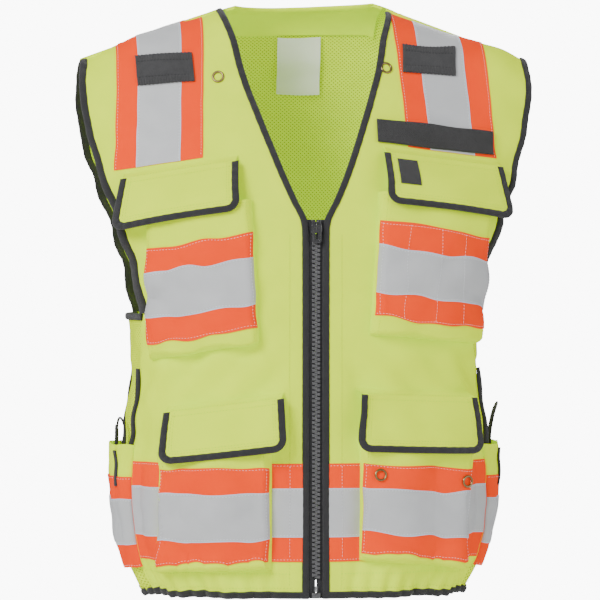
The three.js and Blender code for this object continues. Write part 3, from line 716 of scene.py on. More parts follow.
def tape_lifts(u, base=0.0006, thick=0.0026):
    """A folded tape is thickest in its middle: half an ellipse above the cloth and half below."""
    swell = np.sqrt(np.maximum(1 - (2 * u - 1) ** 2, 0)) ** 0.7
    return base - 0.45 * thick * swell, base + 0.15 * thick + 0.85 * thick * swell


def pucker(length_down):
    """Tape sewn on a curve lies in very small waves."""
    return 0.00025 * np.sin(2 * math.pi * length_down / 0.011 + 2 * np.sin(length_down / 0.03))


for side_name, side in sides:
    u, v = grid(9, 260)
    x, z = panel(u, v, neck_edge, lambda z: neck_edge(z) + binding_width, shoulder_top, hem)
    under, over = tape_lifts(u)
    edge = on_cloth(f"neck_and_zip_tape_{side_name}", bearing_at(side * x, z), z,
                    under, over + pucker(z))
    dress(edge, black_tape, "black_binding", f"front_edge_binding_{side_name}")
    hang_on_front(edge)

    for where, on_back in (("front", False), ("back", True)):
        u, v = grid(9, 130)
        x, z = panel(u, v, lambda z: panel_edge(z) - binding_width, panel_edge, shoulder_top,
                     armhole_bottom + 0.002)
        under, over = tape_lifts(u)
        arm = on_cloth(f"armhole_tape_{where}_{side_name}", bearing_at(side * x, z, on_back), z,
                       under, over + pucker(z))
        dress(arm, black_tape, "black_binding", f"{where}_armhole_binding_{side_name}")
        if on_back:
            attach(arm, "back")
        else:
            hang_on_front(arm)


def hem_tape(name, first, last, columns):
    """A stretch of the hem's tape between two bearings."""
    u, v = grid(columns, 9)
    bearing = first + (last - first) * u
    under, over = tape_lifts(v)
    piece = on_cloth(name, bearing, hem + binding_width * (1 - v), under, over)
    return dress(piece, black_tape, "black_binding")


seam_gap = math.radians(0.4)
for side_name, side in sides:
    zip_bearing = bearing_at(zip_edge, hem)
    front_hem = hem_tape(f"hem_tape_{side_name}", side * zip_bearing,
                         side * (side_seam - seam_gap), 110)
    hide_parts(f"front_hem_binding_{side_name}")
    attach(front_hem, f"front_{side_name}")
back_hem = hem_tape("hem_tape_back", side_seam + seam_gap, 2 * math.pi - side_seam - seam_gap, 260)
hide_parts("back_hem_binding")
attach(back_hem, "back")

# ---------------------------------------------------------------- bands of trim
# Bands of orange cloth 101.6 mm wide with a silver glass-bead tape 50.8 mm wide sewn along the
# middle of each: down both shoulders front and back, and round the waist.
orange_light, orange_shade = (1.0, 0.070, 0.004), (0.92, 0.045, 0.002)
orange_cloth = cloth_material("orange_cloth", orange_light, orange_shade, sheen=0, shine=0.05,
                              glow=painted_glow_strength)


def edge_material(name, light, shade, edge, **rest):
    """A cloth with a pale bluish line about a millimetre wide along its edges: the point attribute rim
    holds the distance in from them.
    """
    material = cloth_material(name, light, shade, **rest)
    tree = material.node_tree
    rim = tree.nodes.new("ShaderNodeAttribute")
    rim.attribute_name = "rim"
    fade = tree.nodes.new("ShaderNodeMapRange")
    fade.inputs["From Min"].default_value = 0.0010
    fade.inputs["From Max"].default_value = 0.0014
    tree.links.new(rim.outputs["Fac"], fade.inputs["Value"])
    mix_into_colour(tree, fade.outputs["Result"], "A", edge, "B")
    return material


silver_tape = edge_material(
    "silver_tape", (0.52, 0.53, 0.54), (0.45, 0.46, 0.47), (0.50, 0.62, 0.72),
    roughness=0.42, pitch=0.0007, depth=0.00003, fibre=1.2, size=60, sheen=0)
thread_tones = {
    "pale_thread": ((0.92, 0.93, 0.96), (0.80, 0.82, 0.86)),
    "lime_thread": ((0.62, 0.76, 0.010), (0.50, 0.62, 0.006)),
    "dark_thread": ((0.020, 0.020, 0.021), (0.012, 0.012, 0.013)),
}
pale_thread, lime_thread, dark_thread = (
    cloth_material(name, light, shade, roughness=0.7, pitch=0.0004, depth=0.00005, sheen=0)
    for name, (light, shade) in thread_tones.items())
waist_top = -0.452
trim_width = 0.1016
trim_lift = 0.0014
trim_cloth = 0.0006
silver_share = (0.25, 0.75)
stitch_length, stitch_gap = 0.0023, 0.0011
thread_width, thread_rise = 0.00060, 0.00040


def at_distances(where, along, vectors):
    """Vectors at some distances along a path, straight between those given at its points."""
    return np.stack([np.interp(where, along, vectors[:, k]) for k in range(3)], -1)


def stitches_on(name, paths, ups, thread):
    """Rows of sewing: along each path a stretched octahedron for every stitch, its two ends on
    the path, its waist as wide as the thread and a little proud along the path's normals."""
    points = []
    for path, up in zip(paths, ups):
        along = np.append(0, np.cumsum(np.linalg.norm(np.diff(path, axis=0), axis=1)))
        begin = np.arange(0.0005, along[-1] - stitch_length, stitch_length + stitch_gap)
        first = at_distances(begin, along, path)
        last = at_distances(begin + stitch_length, along, path)
        normal = at_distances(begin + stitch_length / 2, along, up)
        aside = np.cross(last - first, normal)
        aside *= thread_width / 2 / np.linalg.norm(aside, axis=1, keepdims=True)
        middle = (first + last) / 2
        points.append(np.stack([first, last, middle + aside, middle - aside,
                                middle + thread_rise * normal, middle - thread_rise * normal], 1))
    points = np.concatenate(points)
    upper = [[0, 2, 4], [2, 1, 4], [1, 3, 4], [3, 0, 4]]
    lower = [[2, 0, 5], [1, 2, 5], [3, 1, 5], [0, 3, 5]]
    first_corner = 6 * np.arange(len(points))[:, None, None]
    faces = (np.array(upper + lower)[None] + first_corner).reshape(-1, 3)
    piece = add_mesh(name, points, facing_out(points, faces), sharp=180)
    piece.data.materials.append(thread)
    return piece


def stitches(name, lines, thread):
    """Rows of sewing on the vest, each line given as bearings, heights and lifts."""
    lines = [np.broadcast_arrays(*line) for line in lines]
    paths = [lifted(*line) for line in lines]
    ups = [normal_of(body_point, bearing, z) for bearing, z, lift in lines]
    return stitches_on(name, paths, ups, thread)


def flat_lift(u, v):
    """Trim sewn flat on the shell."""
    return trim_lift + 0 * u


def trim(name, place, lift=flat_lift, upright=False, size=(90, 40), thread=pale_thread):
    """A band of orange cloth with its silver tape and four rows of stitches. The place is a
    function of (u, v) that gives bearing and height; an upright band is divided along u."""
    u, v = grid(*size)
    orange = on_cloth(f"{name}_orange", *place(u, v), lift(u, v), lift(u, v) + trim_cloth)
    dress(orange, orange_cloth, "reflective_trim")
    start, end = silver_share
    if upright:
        u = start + (end - start) * u
    else:
        v = start + (end - start) * v
    base = lift(u, v) + trim_cloth + 0.0001
    silver = on_cloth(f"{name}_silver", *place(u, v), base, base + 0.0004)
    dress(silver, silver_tape, "reflective_trim")
    share = u if upright else v
    from_edge = np.minimum(share - start, end - share) * trim_width
    rim = silver.data.attributes.new("rim", "FLOAT", "POINT")
    rim.data.foreach_set("value", np.tile(from_edge.ravel(), 2).astype(np.float32))
    run = np.linspace(0.004, 0.996, 300)
    inset = 0.022
    rows = []
    row_places = ((start + inset, 0.0006), (end - inset, 0.0006), (inset, 0.0001), (1 - inset, 0.0001))
    for share, proud in row_places:
        fixed = np.full_like(run, share)
        u, v = (fixed, run) if upright else (run, fixed)
        rows.append((*place(u, v), lift(u, v) + trim_cloth + proud))
    return [orange, silver, stitches(f"{name}_thread", rows, thread)]


def hanging_band(side, inner, width, bottoms, on_back):
    """Place of a band that hangs from the shoulder line, leaning from one distance to another."""
    def place(u, v):
        top = shoulder_top(inner[0] + width * u)
        foot = bottoms[0] + (bottoms[1] - bottoms[0]) * u
        z = top + (foot - top) * v ** row_spacing
        x = inner[0] + (inner[1] - inner[0]) * v ** row_spacing + width * u
        return bearing_at(side * x, z, on_back), z
    return place


shoulder_bands = {
    "right": ((0.109, 0.114), 0.090, (-0.137, -0.149)),
    "left": ((0.090, 0.099), 0.098, (-0.125, -0.136)),
}
for side_name, side in sides:
    pieces = trim(f"shoulder_band_{side_name}", hanging_band(side, *shoulder_bands[side_name], False),
                  upright=True, size=(44, 90))
    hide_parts(f"shoulder_trim_{side_name}")
    for piece in pieces:
        hang_on_front(piece)

    stripe = hanging_band(side, (0.102, 0.048), trim_width - 0.008, (waist_top + 0.004,) * 2, True)
    pieces = trim(f"back_stripe_band_{side_name}", stripe, upright=True, size=(44, 150))
    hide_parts(f"back_stripe_{side_name}")
    for piece in pieces:
        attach(piece, "back")

    def front_waist(u, v):
        """From the zip's binding to the side seam."""
        z = waist_top - trim_width * v
        inner = zip_edge + binding_width - 0.001
        return bearing_at(side * (inner + (panel_edge(z) - inner) * u), z), z

    pieces = trim(f"front_waist_band_{side_name}", front_waist, size=(130, 40))
    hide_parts(f"front_waist_trim_{side_name}")
    for piece in pieces:
        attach(piece, f"front_{side_name}")


def back_waist(u, v):
    """Across the back panel from seam to seam."""
    z = waist_top - trim_width * v
    return bearing_at((2 * u - 1) * panel_edge(z), z, True), z


pieces = trim("back_waist_band", back_waist, size=(200, 40))
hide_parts("back_waist_trim")
for piece in pieces:
    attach(piece, "back")

# ---------------------------------------------------------------- sides
# Gussets of lime mesh between the front and back seams, each with a tall slit for the adjuster
# cords. A hip piece of lime cloth with its own trim stands off over the foot of each slit.
slit_top = -0.352
hip_top, hip_foot = -0.436, -0.562
hip_trim_start = 0.26
gusset_tuck, hip_overlap = math.radians(2), math.radians(1)


def hang_on_side(piece):
    """Bakes the piece's transform into its mesh."""
    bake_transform(piece)
    return piece


def gusset_lift(u, z):
    """The slit's cloth lies behind the edges of the slit."""
    in_slit = ease(-z, -slit_top - 0.010, -slit_top + 0.020) * (1 - ease(-z, 0.440, 0.480))
    return -0.007 * in_slit * np.sin(math.pi * u)


def hip_lift(u, v):
    """The hip band comes down to the seams at both ends and stands off most at the middle of its
    upper edge, with pleats."""
    pleat = np.abs(np.sin(3.2 * math.pi * u + 0.6)) ** 0.6 - 0.5
    stand = 0.0032 + 0.0045 * np.sin(math.pi * u) * (1 - v) + 0.0030 * pleat * (1 - 0.4 * v)
    return 0.0022 + stand * quarter_round(np.minimum(u, 1 - u) / 0.15)


for side_name, side in sides:
    u, v = grid(60, 120)
    z = armhole_bottom - 0.002 + (hem + tuck - armhole_bottom) * v
    bearing = side * (side_seam - gusset_tuck + (math.pi - 2 * side_seam + 2 * gusset_tuck) * u)
    base = gusset_lift(u, z) - 0.0012
    gusset = dress(on_cloth(f"side_cloth_{side_name}", bearing, z, base + shell_lift[0],
                            base + shell_lift[1]), lime_mesh, "lime_mesh", f"side_gusset_{side_name}")
    hang_on_side(gusset)
    declare_cloth(gusset)

    def hip_place(u, v):
        """The hip band reaches from seam to seam."""
        start = side_seam - hip_overlap
        return side * (start + (math.pi - 2 * start) * u), hip_top + (hip_foot - hip_top) * v

    def hip_trim_place(u, v):
        """The trim covers the lower part of the hip piece."""
        return hip_place(u, hip_trim_start + (1 - hip_trim_start) * v)

    def hip_trim_lift(u, v):
        """The trim lies on the hip piece."""
        return hip_lift(u, hip_trim_start + (1 - hip_trim_start) * v) + 0.0003

    u, v = grid(100, 80)
    over = hip_lift(u, v)
    hip = on_cloth(f"hip_cloth_{side_name}", *hip_place(u, v), over - shell_lift[1], over)
    dress(hip, lime_cloth, "lime_cloth", f"hip_band_{side_name}")
    hang_on_side(hip)
    declare_cloth(hip)
    for piece in trim(f"hip_band_trim_{side_name}", hip_trim_place, hip_trim_lift, size=(100, 50)):
        hang_on_side(piece)
    u, v = grid(7, 30)
    across = 0.20 + 0.045 * u
    down = 0.04 + 0.30 * v
    under, over = tape_lifts(u, 0.0010, 0.0020)
    base = hip_lift(across, down)
    short_tape = on_cloth(f"hip_short_tape_{side_name}", *hip_place(across, down),
                          base + under, base + over)
    dress(short_tape, black_tape, "black_binding")
    hang_on_side(short_tape)

    u, v = grid(7, 60)
    for edge_name, middle in (("front", side_seam + math.radians(1.2)),
                              ("rear", math.pi - side_seam - math.radians(1.2))):
        z = slit_top - 0.004 + (hip_top - slit_top - 0.010) * v
        under, over = tape_lifts(u, 0.0016, 0.0022)
        slit_edge = on_cloth(f"slit_tape_{edge_name}_{side_name}",
                             side * (middle + math.radians(1.4) * (2 * u - 1)), z, under, over)
        dress(slit_edge, black_tape, "black_binding")
        hang_on_side(slit_edge)
    u, v = grid(40, 9)
    start = side_seam - gusset_tuck
    armpit = on_cloth(f"armpit_tape_{side_name}", side * (start + (math.pi - 2 * start) * u),
                      armhole_bottom + 0.002 - binding_width * v, *tape_lifts(v))
    dress(armpit, black_tape, "black_binding")
    hang_on_side(armpit)

# ---------------------------------------------------------------- shoulder tabs and badge strip
# Radio tabs of heavy charcoal webbing, 59 by 31 mm, sewn down across the shoulder bands: ribbed
# along their upper and lower margins. Below the left one a long strip of loop tape for a badge.
def rolled_edge(u, v, width, height, drop, reach):
    """How far a thick tape's face drops towards its edges: a quarter round over the reach."""
    from_edge = np.minimum(np.minimum(u, 1 - u) * width, np.minimum(v, 1 - v) * height)
    return drop * (1 - quarter_round(from_edge / reach))


def tab_place(side, tab, along, up):
    """Bearing and height at distances along and up a tab, which is turned about its middle."""
    middle, height, tilt = tab
    turn = math.radians(tilt)
    x = middle + side * (along * math.cos(turn) - up * math.sin(turn))
    z = height + along * math.sin(turn) + up * math.cos(turn)
    return bearing_at(side * x, z), z


webbing = cloth_material("webbing", (0.060, 0.060, 0.062), (0.036, 0.036, 0.038), roughness=0.8,
                         pitch=0.0016, depth=0.0003, fibre=0.6, size=150)
loop_tape = cloth_material("loop_tape", (0.030, 0.030, 0.031), (0.012, 0.012, 0.013), roughness=1.0,
                           pitch=0.0020, depth=0.0006, fibre=3.0, size=400, sheen=0.25)
tab_width, tab_height, tab_thickness = 0.059, 0.031, 0.0022
tabs = {"right": (0.150, -0.0435, 4), "left": (0.127, -0.033, -3)}


def four_corners(side, corners, u, v):
    """Bearing and height between four corners, each a distance across and a height, given as
    inner top, outer top, outer bottom, inner bottom."""
    inner_top, outer_top, outer_bottom, inner_bottom = np.asarray(corners)
    u, v = u[..., None], v[..., None]
    upper = inner_top * (1 - u) + outer_top * u
    lower = inner_bottom * (1 - u) + outer_bottom * u
    spot = upper * (1 - v) + lower * v
    x, z = spot[..., 0], spot[..., 1]
    return bearing_at(side * x, z), z


for side_name, side in sides:
    tab_at = tabs[side_name]
    u, v = grid(120, 90)
    margin = ease(np.abs(v - 0.5), 0.27, 0.30)
    scallop = 0.0007 * np.abs(np.sin(2 * math.pi * u * tab_width / 0.0080))
    along = (u - 0.5) * (tab_width - 0.001)
    up = (0.5 - v) * (tab_height - 2 * scallop)
    rib = margin * (0.00060 * np.abs(np.sin(math.pi * u * tab_width / 0.0028)) - 0.0002)
    soft = rolled_edge(u, v, tab_width, tab_height, 0.0007, 0.0010)
    over = trim_lift + trim_cloth + 0.0008 + tab_thickness + rib - soft
    tab = on_cloth(f"shoulder_webbing_{side_name}", *tab_place(side, tab_at, along, up),
                   0.0026 + soft, over)
    dress(tab, webbing, "webbing", f"shoulder_tab_{side_name}")
    hang_on_front(tab)
    rows = []
    run = np.linspace(-0.46, 0.46, 60)
    for share in (-0.25, 0.25):
        place = tab_place(side, tab_at, run * tab_width, share * tab_height)
        rows.append((*place, trim_lift + 0.0037))
    hang_on_front(stitches(f"webbing_thread_{side_name}", rows, dark_thread))

badge_corners = [(0.066, -0.097), (0.193, -0.108), (0.193, -0.133), (0.066, -0.121)]
badge_width, badge_height = 0.127, 0.025
u, v = grid(260, 60)
loops = 0.00035 * np.random.default_rng(5).random(u.shape)
soft = rolled_edge(u, v, badge_width, badge_height, 0.0008, 0.0015)
badge = on_cloth("badge_loop_tape", *four_corners(1, badge_corners, u, v), 0.0030,
                 0.0048 + loops - soft)
dress(badge, loop_tape, "loop_tape", "badge_strip")
hang_on_front(badge)

# ---------------------------------------------------------------- pouches
# Four bellows pouches of lime cloth, open at the top and sewn on round the other three sides.
# Each carries its own band of orange and silver trim across the front.
pouch_depth = 0.0158
pouch_cloth = 0.0012
band_inset = 0.012
side_round, foot_round = 0.010, 0.006
pouches = {
    "chest_pouch_right": ("right", -1,
                          [(0.066, -0.180), (0.172, -0.197), (0.163, -0.346), (0.058, -0.327)],
                          (0.222, 0.221), (0.895, 0.883)),
    "chest_pouch_left": ("left", 1,
                         [(0.066, -0.172), (0.184, -0.188), (0.176, -0.330), (0.056, -0.319)],
                         (0.190, 0.204), (0.861, 0.899)),
    "waist_pouch_right": ("right", -1,
                          [(0.045, -0.427), (0.158, -0.441), (0.156, -0.564), (0.045, -0.562)],
                          (0.222, 0.146), (0.935, 0.935)),
    "waist_pouch_left": ("left", 1,
                         [(0.046, -0.425), (0.164, -0.431), (0.153, -0.562), (0.046, -0.553)],
                         (0.203, 0.229), (0.940, 0.945)),
}
pen_seams = {"chest_pouch_left": (0.25, 0.53, 0.74)}


def pouch_lift(u, v, width, length, seed):
    """Pouch cloth rises from its seams in a quarter round and is slack between them."""
    from_side = np.minimum(u, 1 - u) * width
    rise = quarter_round(from_side / side_round) * quarter_round((1 - v) * length / foot_round)
    waves = 0.0008 * soft_waves(u * width, v * length, 0.060, seed)
    slack = waves - 0.0006 * np.cos(2 * math.pi * u)
    seam = trim_lift + pouch_cloth
    return seam + (pouch_depth - seam) * rise + slack * rise


for number, (name, (side_name, side, corners, band_top, band_foot)) in enumerate(pouches.items()):
    width = corners[1][0] - corners[0][0]
    length = corners[0][1] - corners[3][1]

    def pouch_place(u, v):
        """Across and down the pouch's own face."""
        return four_corners(side, corners, u, v)

    def band_to_pouch(u, v):
        """Down the pouch for a share down its band."""
        top = band_top[0] + (band_top[1] - band_top[0]) * u
        foot = band_foot[0] + (band_foot[1] - band_foot[0]) * u
        return top + (foot - top) * v

    u, v = grid(110, 110)
    u = 0.5 - 0.5 * np.cos(math.pi * u)
    v = np.sin(math.pi / 2 * v)
    over = pouch_lift(u, v, width, length, 20 + number)
    face = on_cloth(f"{name}_cloth", *pouch_place(u, v), over - pouch_cloth, over)
    dress(face, lime_cloth, "lime_cloth", name)
    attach(face, f"front_{side_name}")
    declare_cloth(face)

    def band_place(u, v):
        """Across and down the band, in from the pouch's own edges."""
        u = band_inset + (1 - 2 * band_inset) * u
        return pouch_place(u, band_to_pouch(u, v))

    def band_lift(u, v):
        """The band lies on the pouch's cloth."""
        u = band_inset + (1 - 2 * band_inset) * u
        return pouch_lift(u, band_to_pouch(u, v), width, length, 20 + number) + 0.0003

    pieces = trim(f"{name}_band", band_place, band_lift, size=(100, 60))
    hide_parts(f"{name}_trim")
    for piece in pieces:
        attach(piece, f"front_{side_name}")

    run = np.linspace(0.02, 0.99, 200)
    rows = []
    for share in (0.055, 0.945):
        lift = pouch_lift(np.full_like(run, share), run, width, length, 20 + number)
        rows.append((*pouch_place(np.full_like(run, share), run), lift + 0.0001))
    for share in (0.02, 0.045):
        lift = pouch_lift(run, np.full_like(run, share), width, length, 20 + number)
        rows.append((*pouch_place(run, np.full_like(run, share)), lift + 0.0001))
    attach(stitches(f"{name}_seam_thread", rows, lime_thread), f"front_{side_name}")
    rows = []
    run = np.linspace(0.01, 0.99, 160)
    for share in (0.025, *pen_seams.get(name, ()), 0.975):
        fixed = np.full_like(run, share)
        on_silver = 0.0005 * (np.abs(run - 0.5) < 0.25)
        rows.append((*band_place(fixed, run), band_lift(fixed, run) + trim_cloth + 0.0002 + on_silver))
    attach(stitches(f"{name}_band_thread", rows, pale_thread), f"front_{side_name}")

# ---------------------------------------------------------------- flaps
# A flap of lime cloth over each pouch, bound in black round its sides and foot with rounded
# corners. It is sewn to the front along its upper edge and lifts on that line.
flap_clearance = 0.005
flap_corner = 0.014
flap_root = 0.007
tape_root = 0.001
flap_cloth = 0.0016
flap_foot_lift = 0.0204
flaps = {
    "chest_flap_right": ("right", -1, (0.076, -0.140), (0.196, -0.159), 0.052),
    "chest_flap_left": ("left", 1, (0.069, -0.131), (0.200, -0.146), 0.054),
    "waist_flap_right": ("right", -1, (0.030, -0.385), (0.152, -0.401), 0.053),
    "waist_flap_left": ("left", 1, (0.039, -0.381), (0.167, -0.387), 0.058),
}


def flap_frame(side, inner, outer):
    """Ends of the straight line that a flap turns on, clear of the chest, and its outward way."""
    share = np.linspace(0, 1, 11)
    x = side * (inner[0] + (outer[0] - inner[0]) * share)
    z = inner[1] + (outer[1] - inner[1]) * share
    line = plain_point(bearing_at(x, z), z)
    along = line[-1] - line[0]
    outward = np.cross(along, [0, 0, side])
    outward /= np.linalg.norm(outward)
    stand = outward * (((line - line[0]) @ outward).max() + flap_clearance)
    return line[0] + stand, line[-1] + stand, outward


def flap_point(flap, across, down, lift=0):
    """A point across and down a flap. Above its hinge the cloth curves in to the seam on the
    front; below, it hangs in an arc to its foot over the pouch."""
    side_name, side, inner, outer, length = flap
    start, end, outward = flap_frame(side, inner, outer)
    across, down, lift = np.broadcast_arrays(*(np.asarray(v, float) for v in (across, down, lift)))
    share = (across / np.linalg.norm(end - start))[..., None]
    hinge = start + (end - start) * share
    x = side * (inner[0] + (outer[0] - inner[0]) * share[..., 0])
    z = inner[1] + (outer[1] - inner[1]) * share[..., 0]
    foot = plain_point(bearing_at(x, z - length), z - length) \
        + normal_of(plain_point, bearing_at(x, z - length), z - length) * flap_foot_lift
    fall = np.maximum(down / length, 0)[..., None]
    swell = ((foot - hinge) @ outward)[..., None] * (np.sin(math.pi / 2 * fall) - fall)
    hanging = hinge + (foot - hinge) * fall + outward * swell
    root_z = z + flap_root
    root = lifted(bearing_at(x, root_z), root_z, 0.0014)
    near = np.clip(1 + down / flap_root, 0, 1)[..., None]
    way = hinge - root
    out = (way @ outward)[..., None] * outward
    curving = root + (way - out) * near + out * near ** 2 * (3 - 2 * near)
    slack = 0.0009 * soft_waves(across, down, 0.045, round(1000 * length)) * np.clip(down / 0.02, 0, 1)
    return np.where(near < 1, curving, hanging) + outward * (lift + slack)[..., None]


def rounded_foot(across, width, length, inset):
    """Distance down to the flap's foot, whose corners are quarter circles."""
    radius = flap_corner - inset
    into = np.maximum(radius - np.minimum(across - inset, width - inset - across), 0)
    return length - inset - radius + np.sqrt(np.maximum(radius ** 2 - into ** 2, 0))


def flap_outline(t, inset, width, length):
    """Across and down at a share t of the way round a flap's edge, some way in from it."""
    side_run = length + tape_root - flap_corner
    turn_run = math.pi / 2 * flap_corner
    foot_run = width - 2 * flap_corner
    whole = 2 * (side_run + turn_run) + foot_run
    way = np.where(t > 0.5, 1 - t, t) * whole
    turn = np.clip((way - side_run) / flap_corner, 0, math.pi / 2)
    radius = flap_corner - inset
    across = flap_corner - radius * np.cos(turn) + np.maximum(way - side_run - turn_run, 0)
    down = -tape_root + np.minimum(way, side_run) + radius * np.sin(turn)
    return np.where(t > 0.5, width - across, across), down


for name, flap in flaps.items():
    side_name, side, inner, outer, length = flap
    start, end, outward = flap_frame(side, inner, outer)
    width = np.linalg.norm(end - start)

    u, v = grid(100, 60)
    inset = 0.003
    across = inset + (width - 2 * inset) * (0.5 - 0.5 * np.cos(math.pi * u))
    down = -flap_root + (rounded_foot(across, width, length, inset) + flap_root) * v
    cloth = closed_grid(f"{name}_cloth", flap_point(flap, across, down, 0.0001),
                        flap_point(flap, across, down, flap_cloth - 0.0001))
    dress(cloth, lime_cloth, "lime_cloth", name)
    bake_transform(cloth)
    declare_cloth(cloth)

    u, v = grid(9, 220)
    under, over = tape_lifts(u, flap_cloth / 2 - 0.0001, 0.0026)
    across, down = flap_outline(v, binding_width * u, width, length)
    tape = closed_grid(f"{name}_tape", flap_point(flap, across, down, under),
                       flap_point(flap, across, down, over + pucker(v * 0.25)))
    dress(tape, black_tape, "black_binding", f"{name}_binding")
    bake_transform(tape)

    paths, ups = [], []
    run = np.linspace(0.0, 1.0, 400)
    for row in (0.010, 0.0125):
        across, down = flap_outline(run, row, width, length)
        paths.append(flap_point(flap, across, down, flap_cloth))
        ups.append(np.broadcast_to(outward, paths[-1].shape))
    across = np.linspace(0.008, width - 0.008, 300)
    for row in (-0.002, 0.004):
        paths.append(flap_point(flap, across, np.full_like(across, row), flap_cloth))
        ups.append(np.broadcast_to(outward, paths[-1].shape))
    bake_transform(stitches_on(f"{name}_thread", paths, ups, lime_thread))
    across, down = flap_outline(run, binding_width - 0.0015, width, length)
    path = flap_point(flap, across, down, flap_cloth + 0.0011)
    ways = [np.broadcast_to(outward, path.shape)]
    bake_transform(stitches_on(f"{name}_tape_thread", [path], ways, dark_thread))

patch_width, patch_height = 0.022, 0.027
u, v = grid(60, 70)
across = 0.014 + patch_width * u
down = 0.004 + patch_height * v
soft = rolled_edge(u, v, patch_width, patch_height, 0.0006, 0.0012)
fuzz = 0.0001 * np.random.default_rng(6).random(u.shape)
patched_flap = flaps["chest_flap_left"]
patch = closed_grid("flap_patch_tape", flap_point(patched_flap, across, down, flap_cloth),
                    flap_point(patched_flap, across, down, flap_cloth + 0.0016 - soft + fuzz))
dress(patch, loop_tape, "loop_tape", "flap_patch")
start, end, outward = flap_frame(*patched_flap[1:4])
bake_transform(patch)

# ---------------------------------------------------------------- eyelets
# Small rolled eyelets of nickelled brass, pressed through the cloth: one at each side of the
# neck and two at the upper corners of the left waist pouch.
def hard_material(name, light, shade, size, settings):
    """A hard surface in two close tones, with the values of the shader's own sockets by name."""
    material = bpy.data.materials.new(name)
    material.use_nodes = True
    tree = material.node_tree
    shader = tree.nodes["Principled BSDF"]
    tree.links.new(two_tones(tree, light, shade, size), shader.inputs["Base Color"])
    for socket, value in settings.items():
        shader.inputs[socket].default_value = value
    return material


eyelet_metal = hard_material("eyelet_metal", (0.34, 0.25, 0.11), (0.18, 0.13, 0.06), 300,
                             {"Metallic": 1.0, "Roughness": 0.28})


def revolve(name, profile, centre, axis, steps=64):
    """A closed profile of (radius, height) points turned once round an axis through a centre."""
    axis = np.asarray(axis) / np.linalg.norm(axis)
    aside = np.cross(axis, [0.2, 0.3, 0.9])
    aside /= np.linalg.norm(aside)
    over = np.cross(axis, aside)
    radius, height = np.asarray(profile).T
    turn = np.arange(steps)[:, None] * 2 * math.pi / steps
    round_ = np.cos(turn)[..., None] * aside + np.sin(turn)[..., None] * over
    points = centre + radius[:, None] * round_ + height[:, None] * axis
    count = len(profile)
    ring, spot = np.meshgrid(np.arange(steps), np.arange(count), indexing="ij")
    after, beside = (ring + 1) % steps, (spot + 1) % count
    faces = np.stack([ring * count + spot, after * count + spot, after * count + beside,
                      ring * count + beside], -1).reshape(-1, 4)
    return add_mesh(name, points, facing_out(points, faces), sharp=60)


eyelet_profile = [
    (0.0042, -0.0008), (0.0048, -0.0009), (0.0063, -0.0008), (0.0066, -0.0003), (0.0066, 0.0003),
    (0.0061, 0.0009), (0.0054, 0.0012), (0.0047, 0.0009), (0.0042, 0.0003)]


def eyelet(name, side, x, z, lift, node):
    """An eyelet square to the cloth at a distance across and a height."""
    bearing, z = np.array([bearing_at(side * x, z)]), np.array([z])
    centre = lifted(bearing, z, lift)[0]
    ring = revolve(name, eyelet_profile, centre, normal_of(body_point, bearing, z)[0])
    return dress(ring, eyelet_metal, "eyelet_metal", node)


for side_name, side, x, z in (("right", -1, 0.096, -0.051), ("left", 1, 0.080, -0.042)):
    hang_on_front(eyelet(f"neck_eyelet_{side_name}", side, x, z, 0.0019, f"neck_grommet_{side_name}"))
for where, x, z in (("inner", 0.066, -0.466), ("outer", 0.152, -0.472)):
    ring = eyelet(f"pouch_eyelet_{where}", 1, x, z, pouch_depth + 0.0021, f"pouch_grommet_{where}")
    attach(ring, "front_left")

# ---------------------------------------------------------------- zip
# A moulded resin separating zip: black woven tapes sewn under the front bindings, teeth moulded
# onto each tape's edge that lock between their neighbours, and a pin and box at the foot.
# The lighter of the resin's two tones is partly painted highlight: grey patches that stand in for
# glints on the black teeth, besides tone.
resin = hard_material("zip_resin", (0.110, 0.110, 0.115), (0.030, 0.030, 0.032), 500,
                      {"Roughness": 0.26, "Coat Weight": 0.2})

hard_edge = 40
tape_front = -half_depth - 0.0008
teeth_back = tape_front - 0.0003
teeth_front = teeth_back - 0.0024
tooth_pitch = 0.0045
slider_height = 0.014
zip_length = 0.385
chain_foot = zip_top - zip_length + 0.012
chain_head = {"right": zip_top - 0.0085, "left": zip_top - 0.016}


def bevelled_block(width, depth, height, bevel):
    """Points and faces of a box about the origin whose edges are rounded in two steps."""
    work = bmesh.new()
    bmesh.ops.create_cube(work, size=1)
    bmesh.ops.scale(work, vec=(width, depth, height), verts=work.verts)
    bmesh.ops.bevel(work, geom=work.edges[:], offset=bevel, segments=2, profile=0.5, affect="EDGES")
    points = np.array([vertex.co[:] for vertex in work.verts])
    faces = [[vertex.index for vertex in face.verts] for face in work.faces]
    work.free()
    return points, faces


def blocks(name, groups):
    """One piece from copies of rounded boxes: each group is a size and the centres to put it at."""
    points, faces = [], []
    for (width, depth, height, bevel), centres in groups:
        one, one_faces = bevelled_block(width, depth, height, bevel)
        for centre in centres:
            first = sum(len(p) for p in points)
            points.append(one + centre)
            faces += [[first + i for i in face] for face in one_faces]
    mesh = bpy.data.meshes.new(name)
    mesh.from_pydata(np.concatenate(points).tolist(), [], faces)
    return link_mesh(name, mesh, hard_edge)


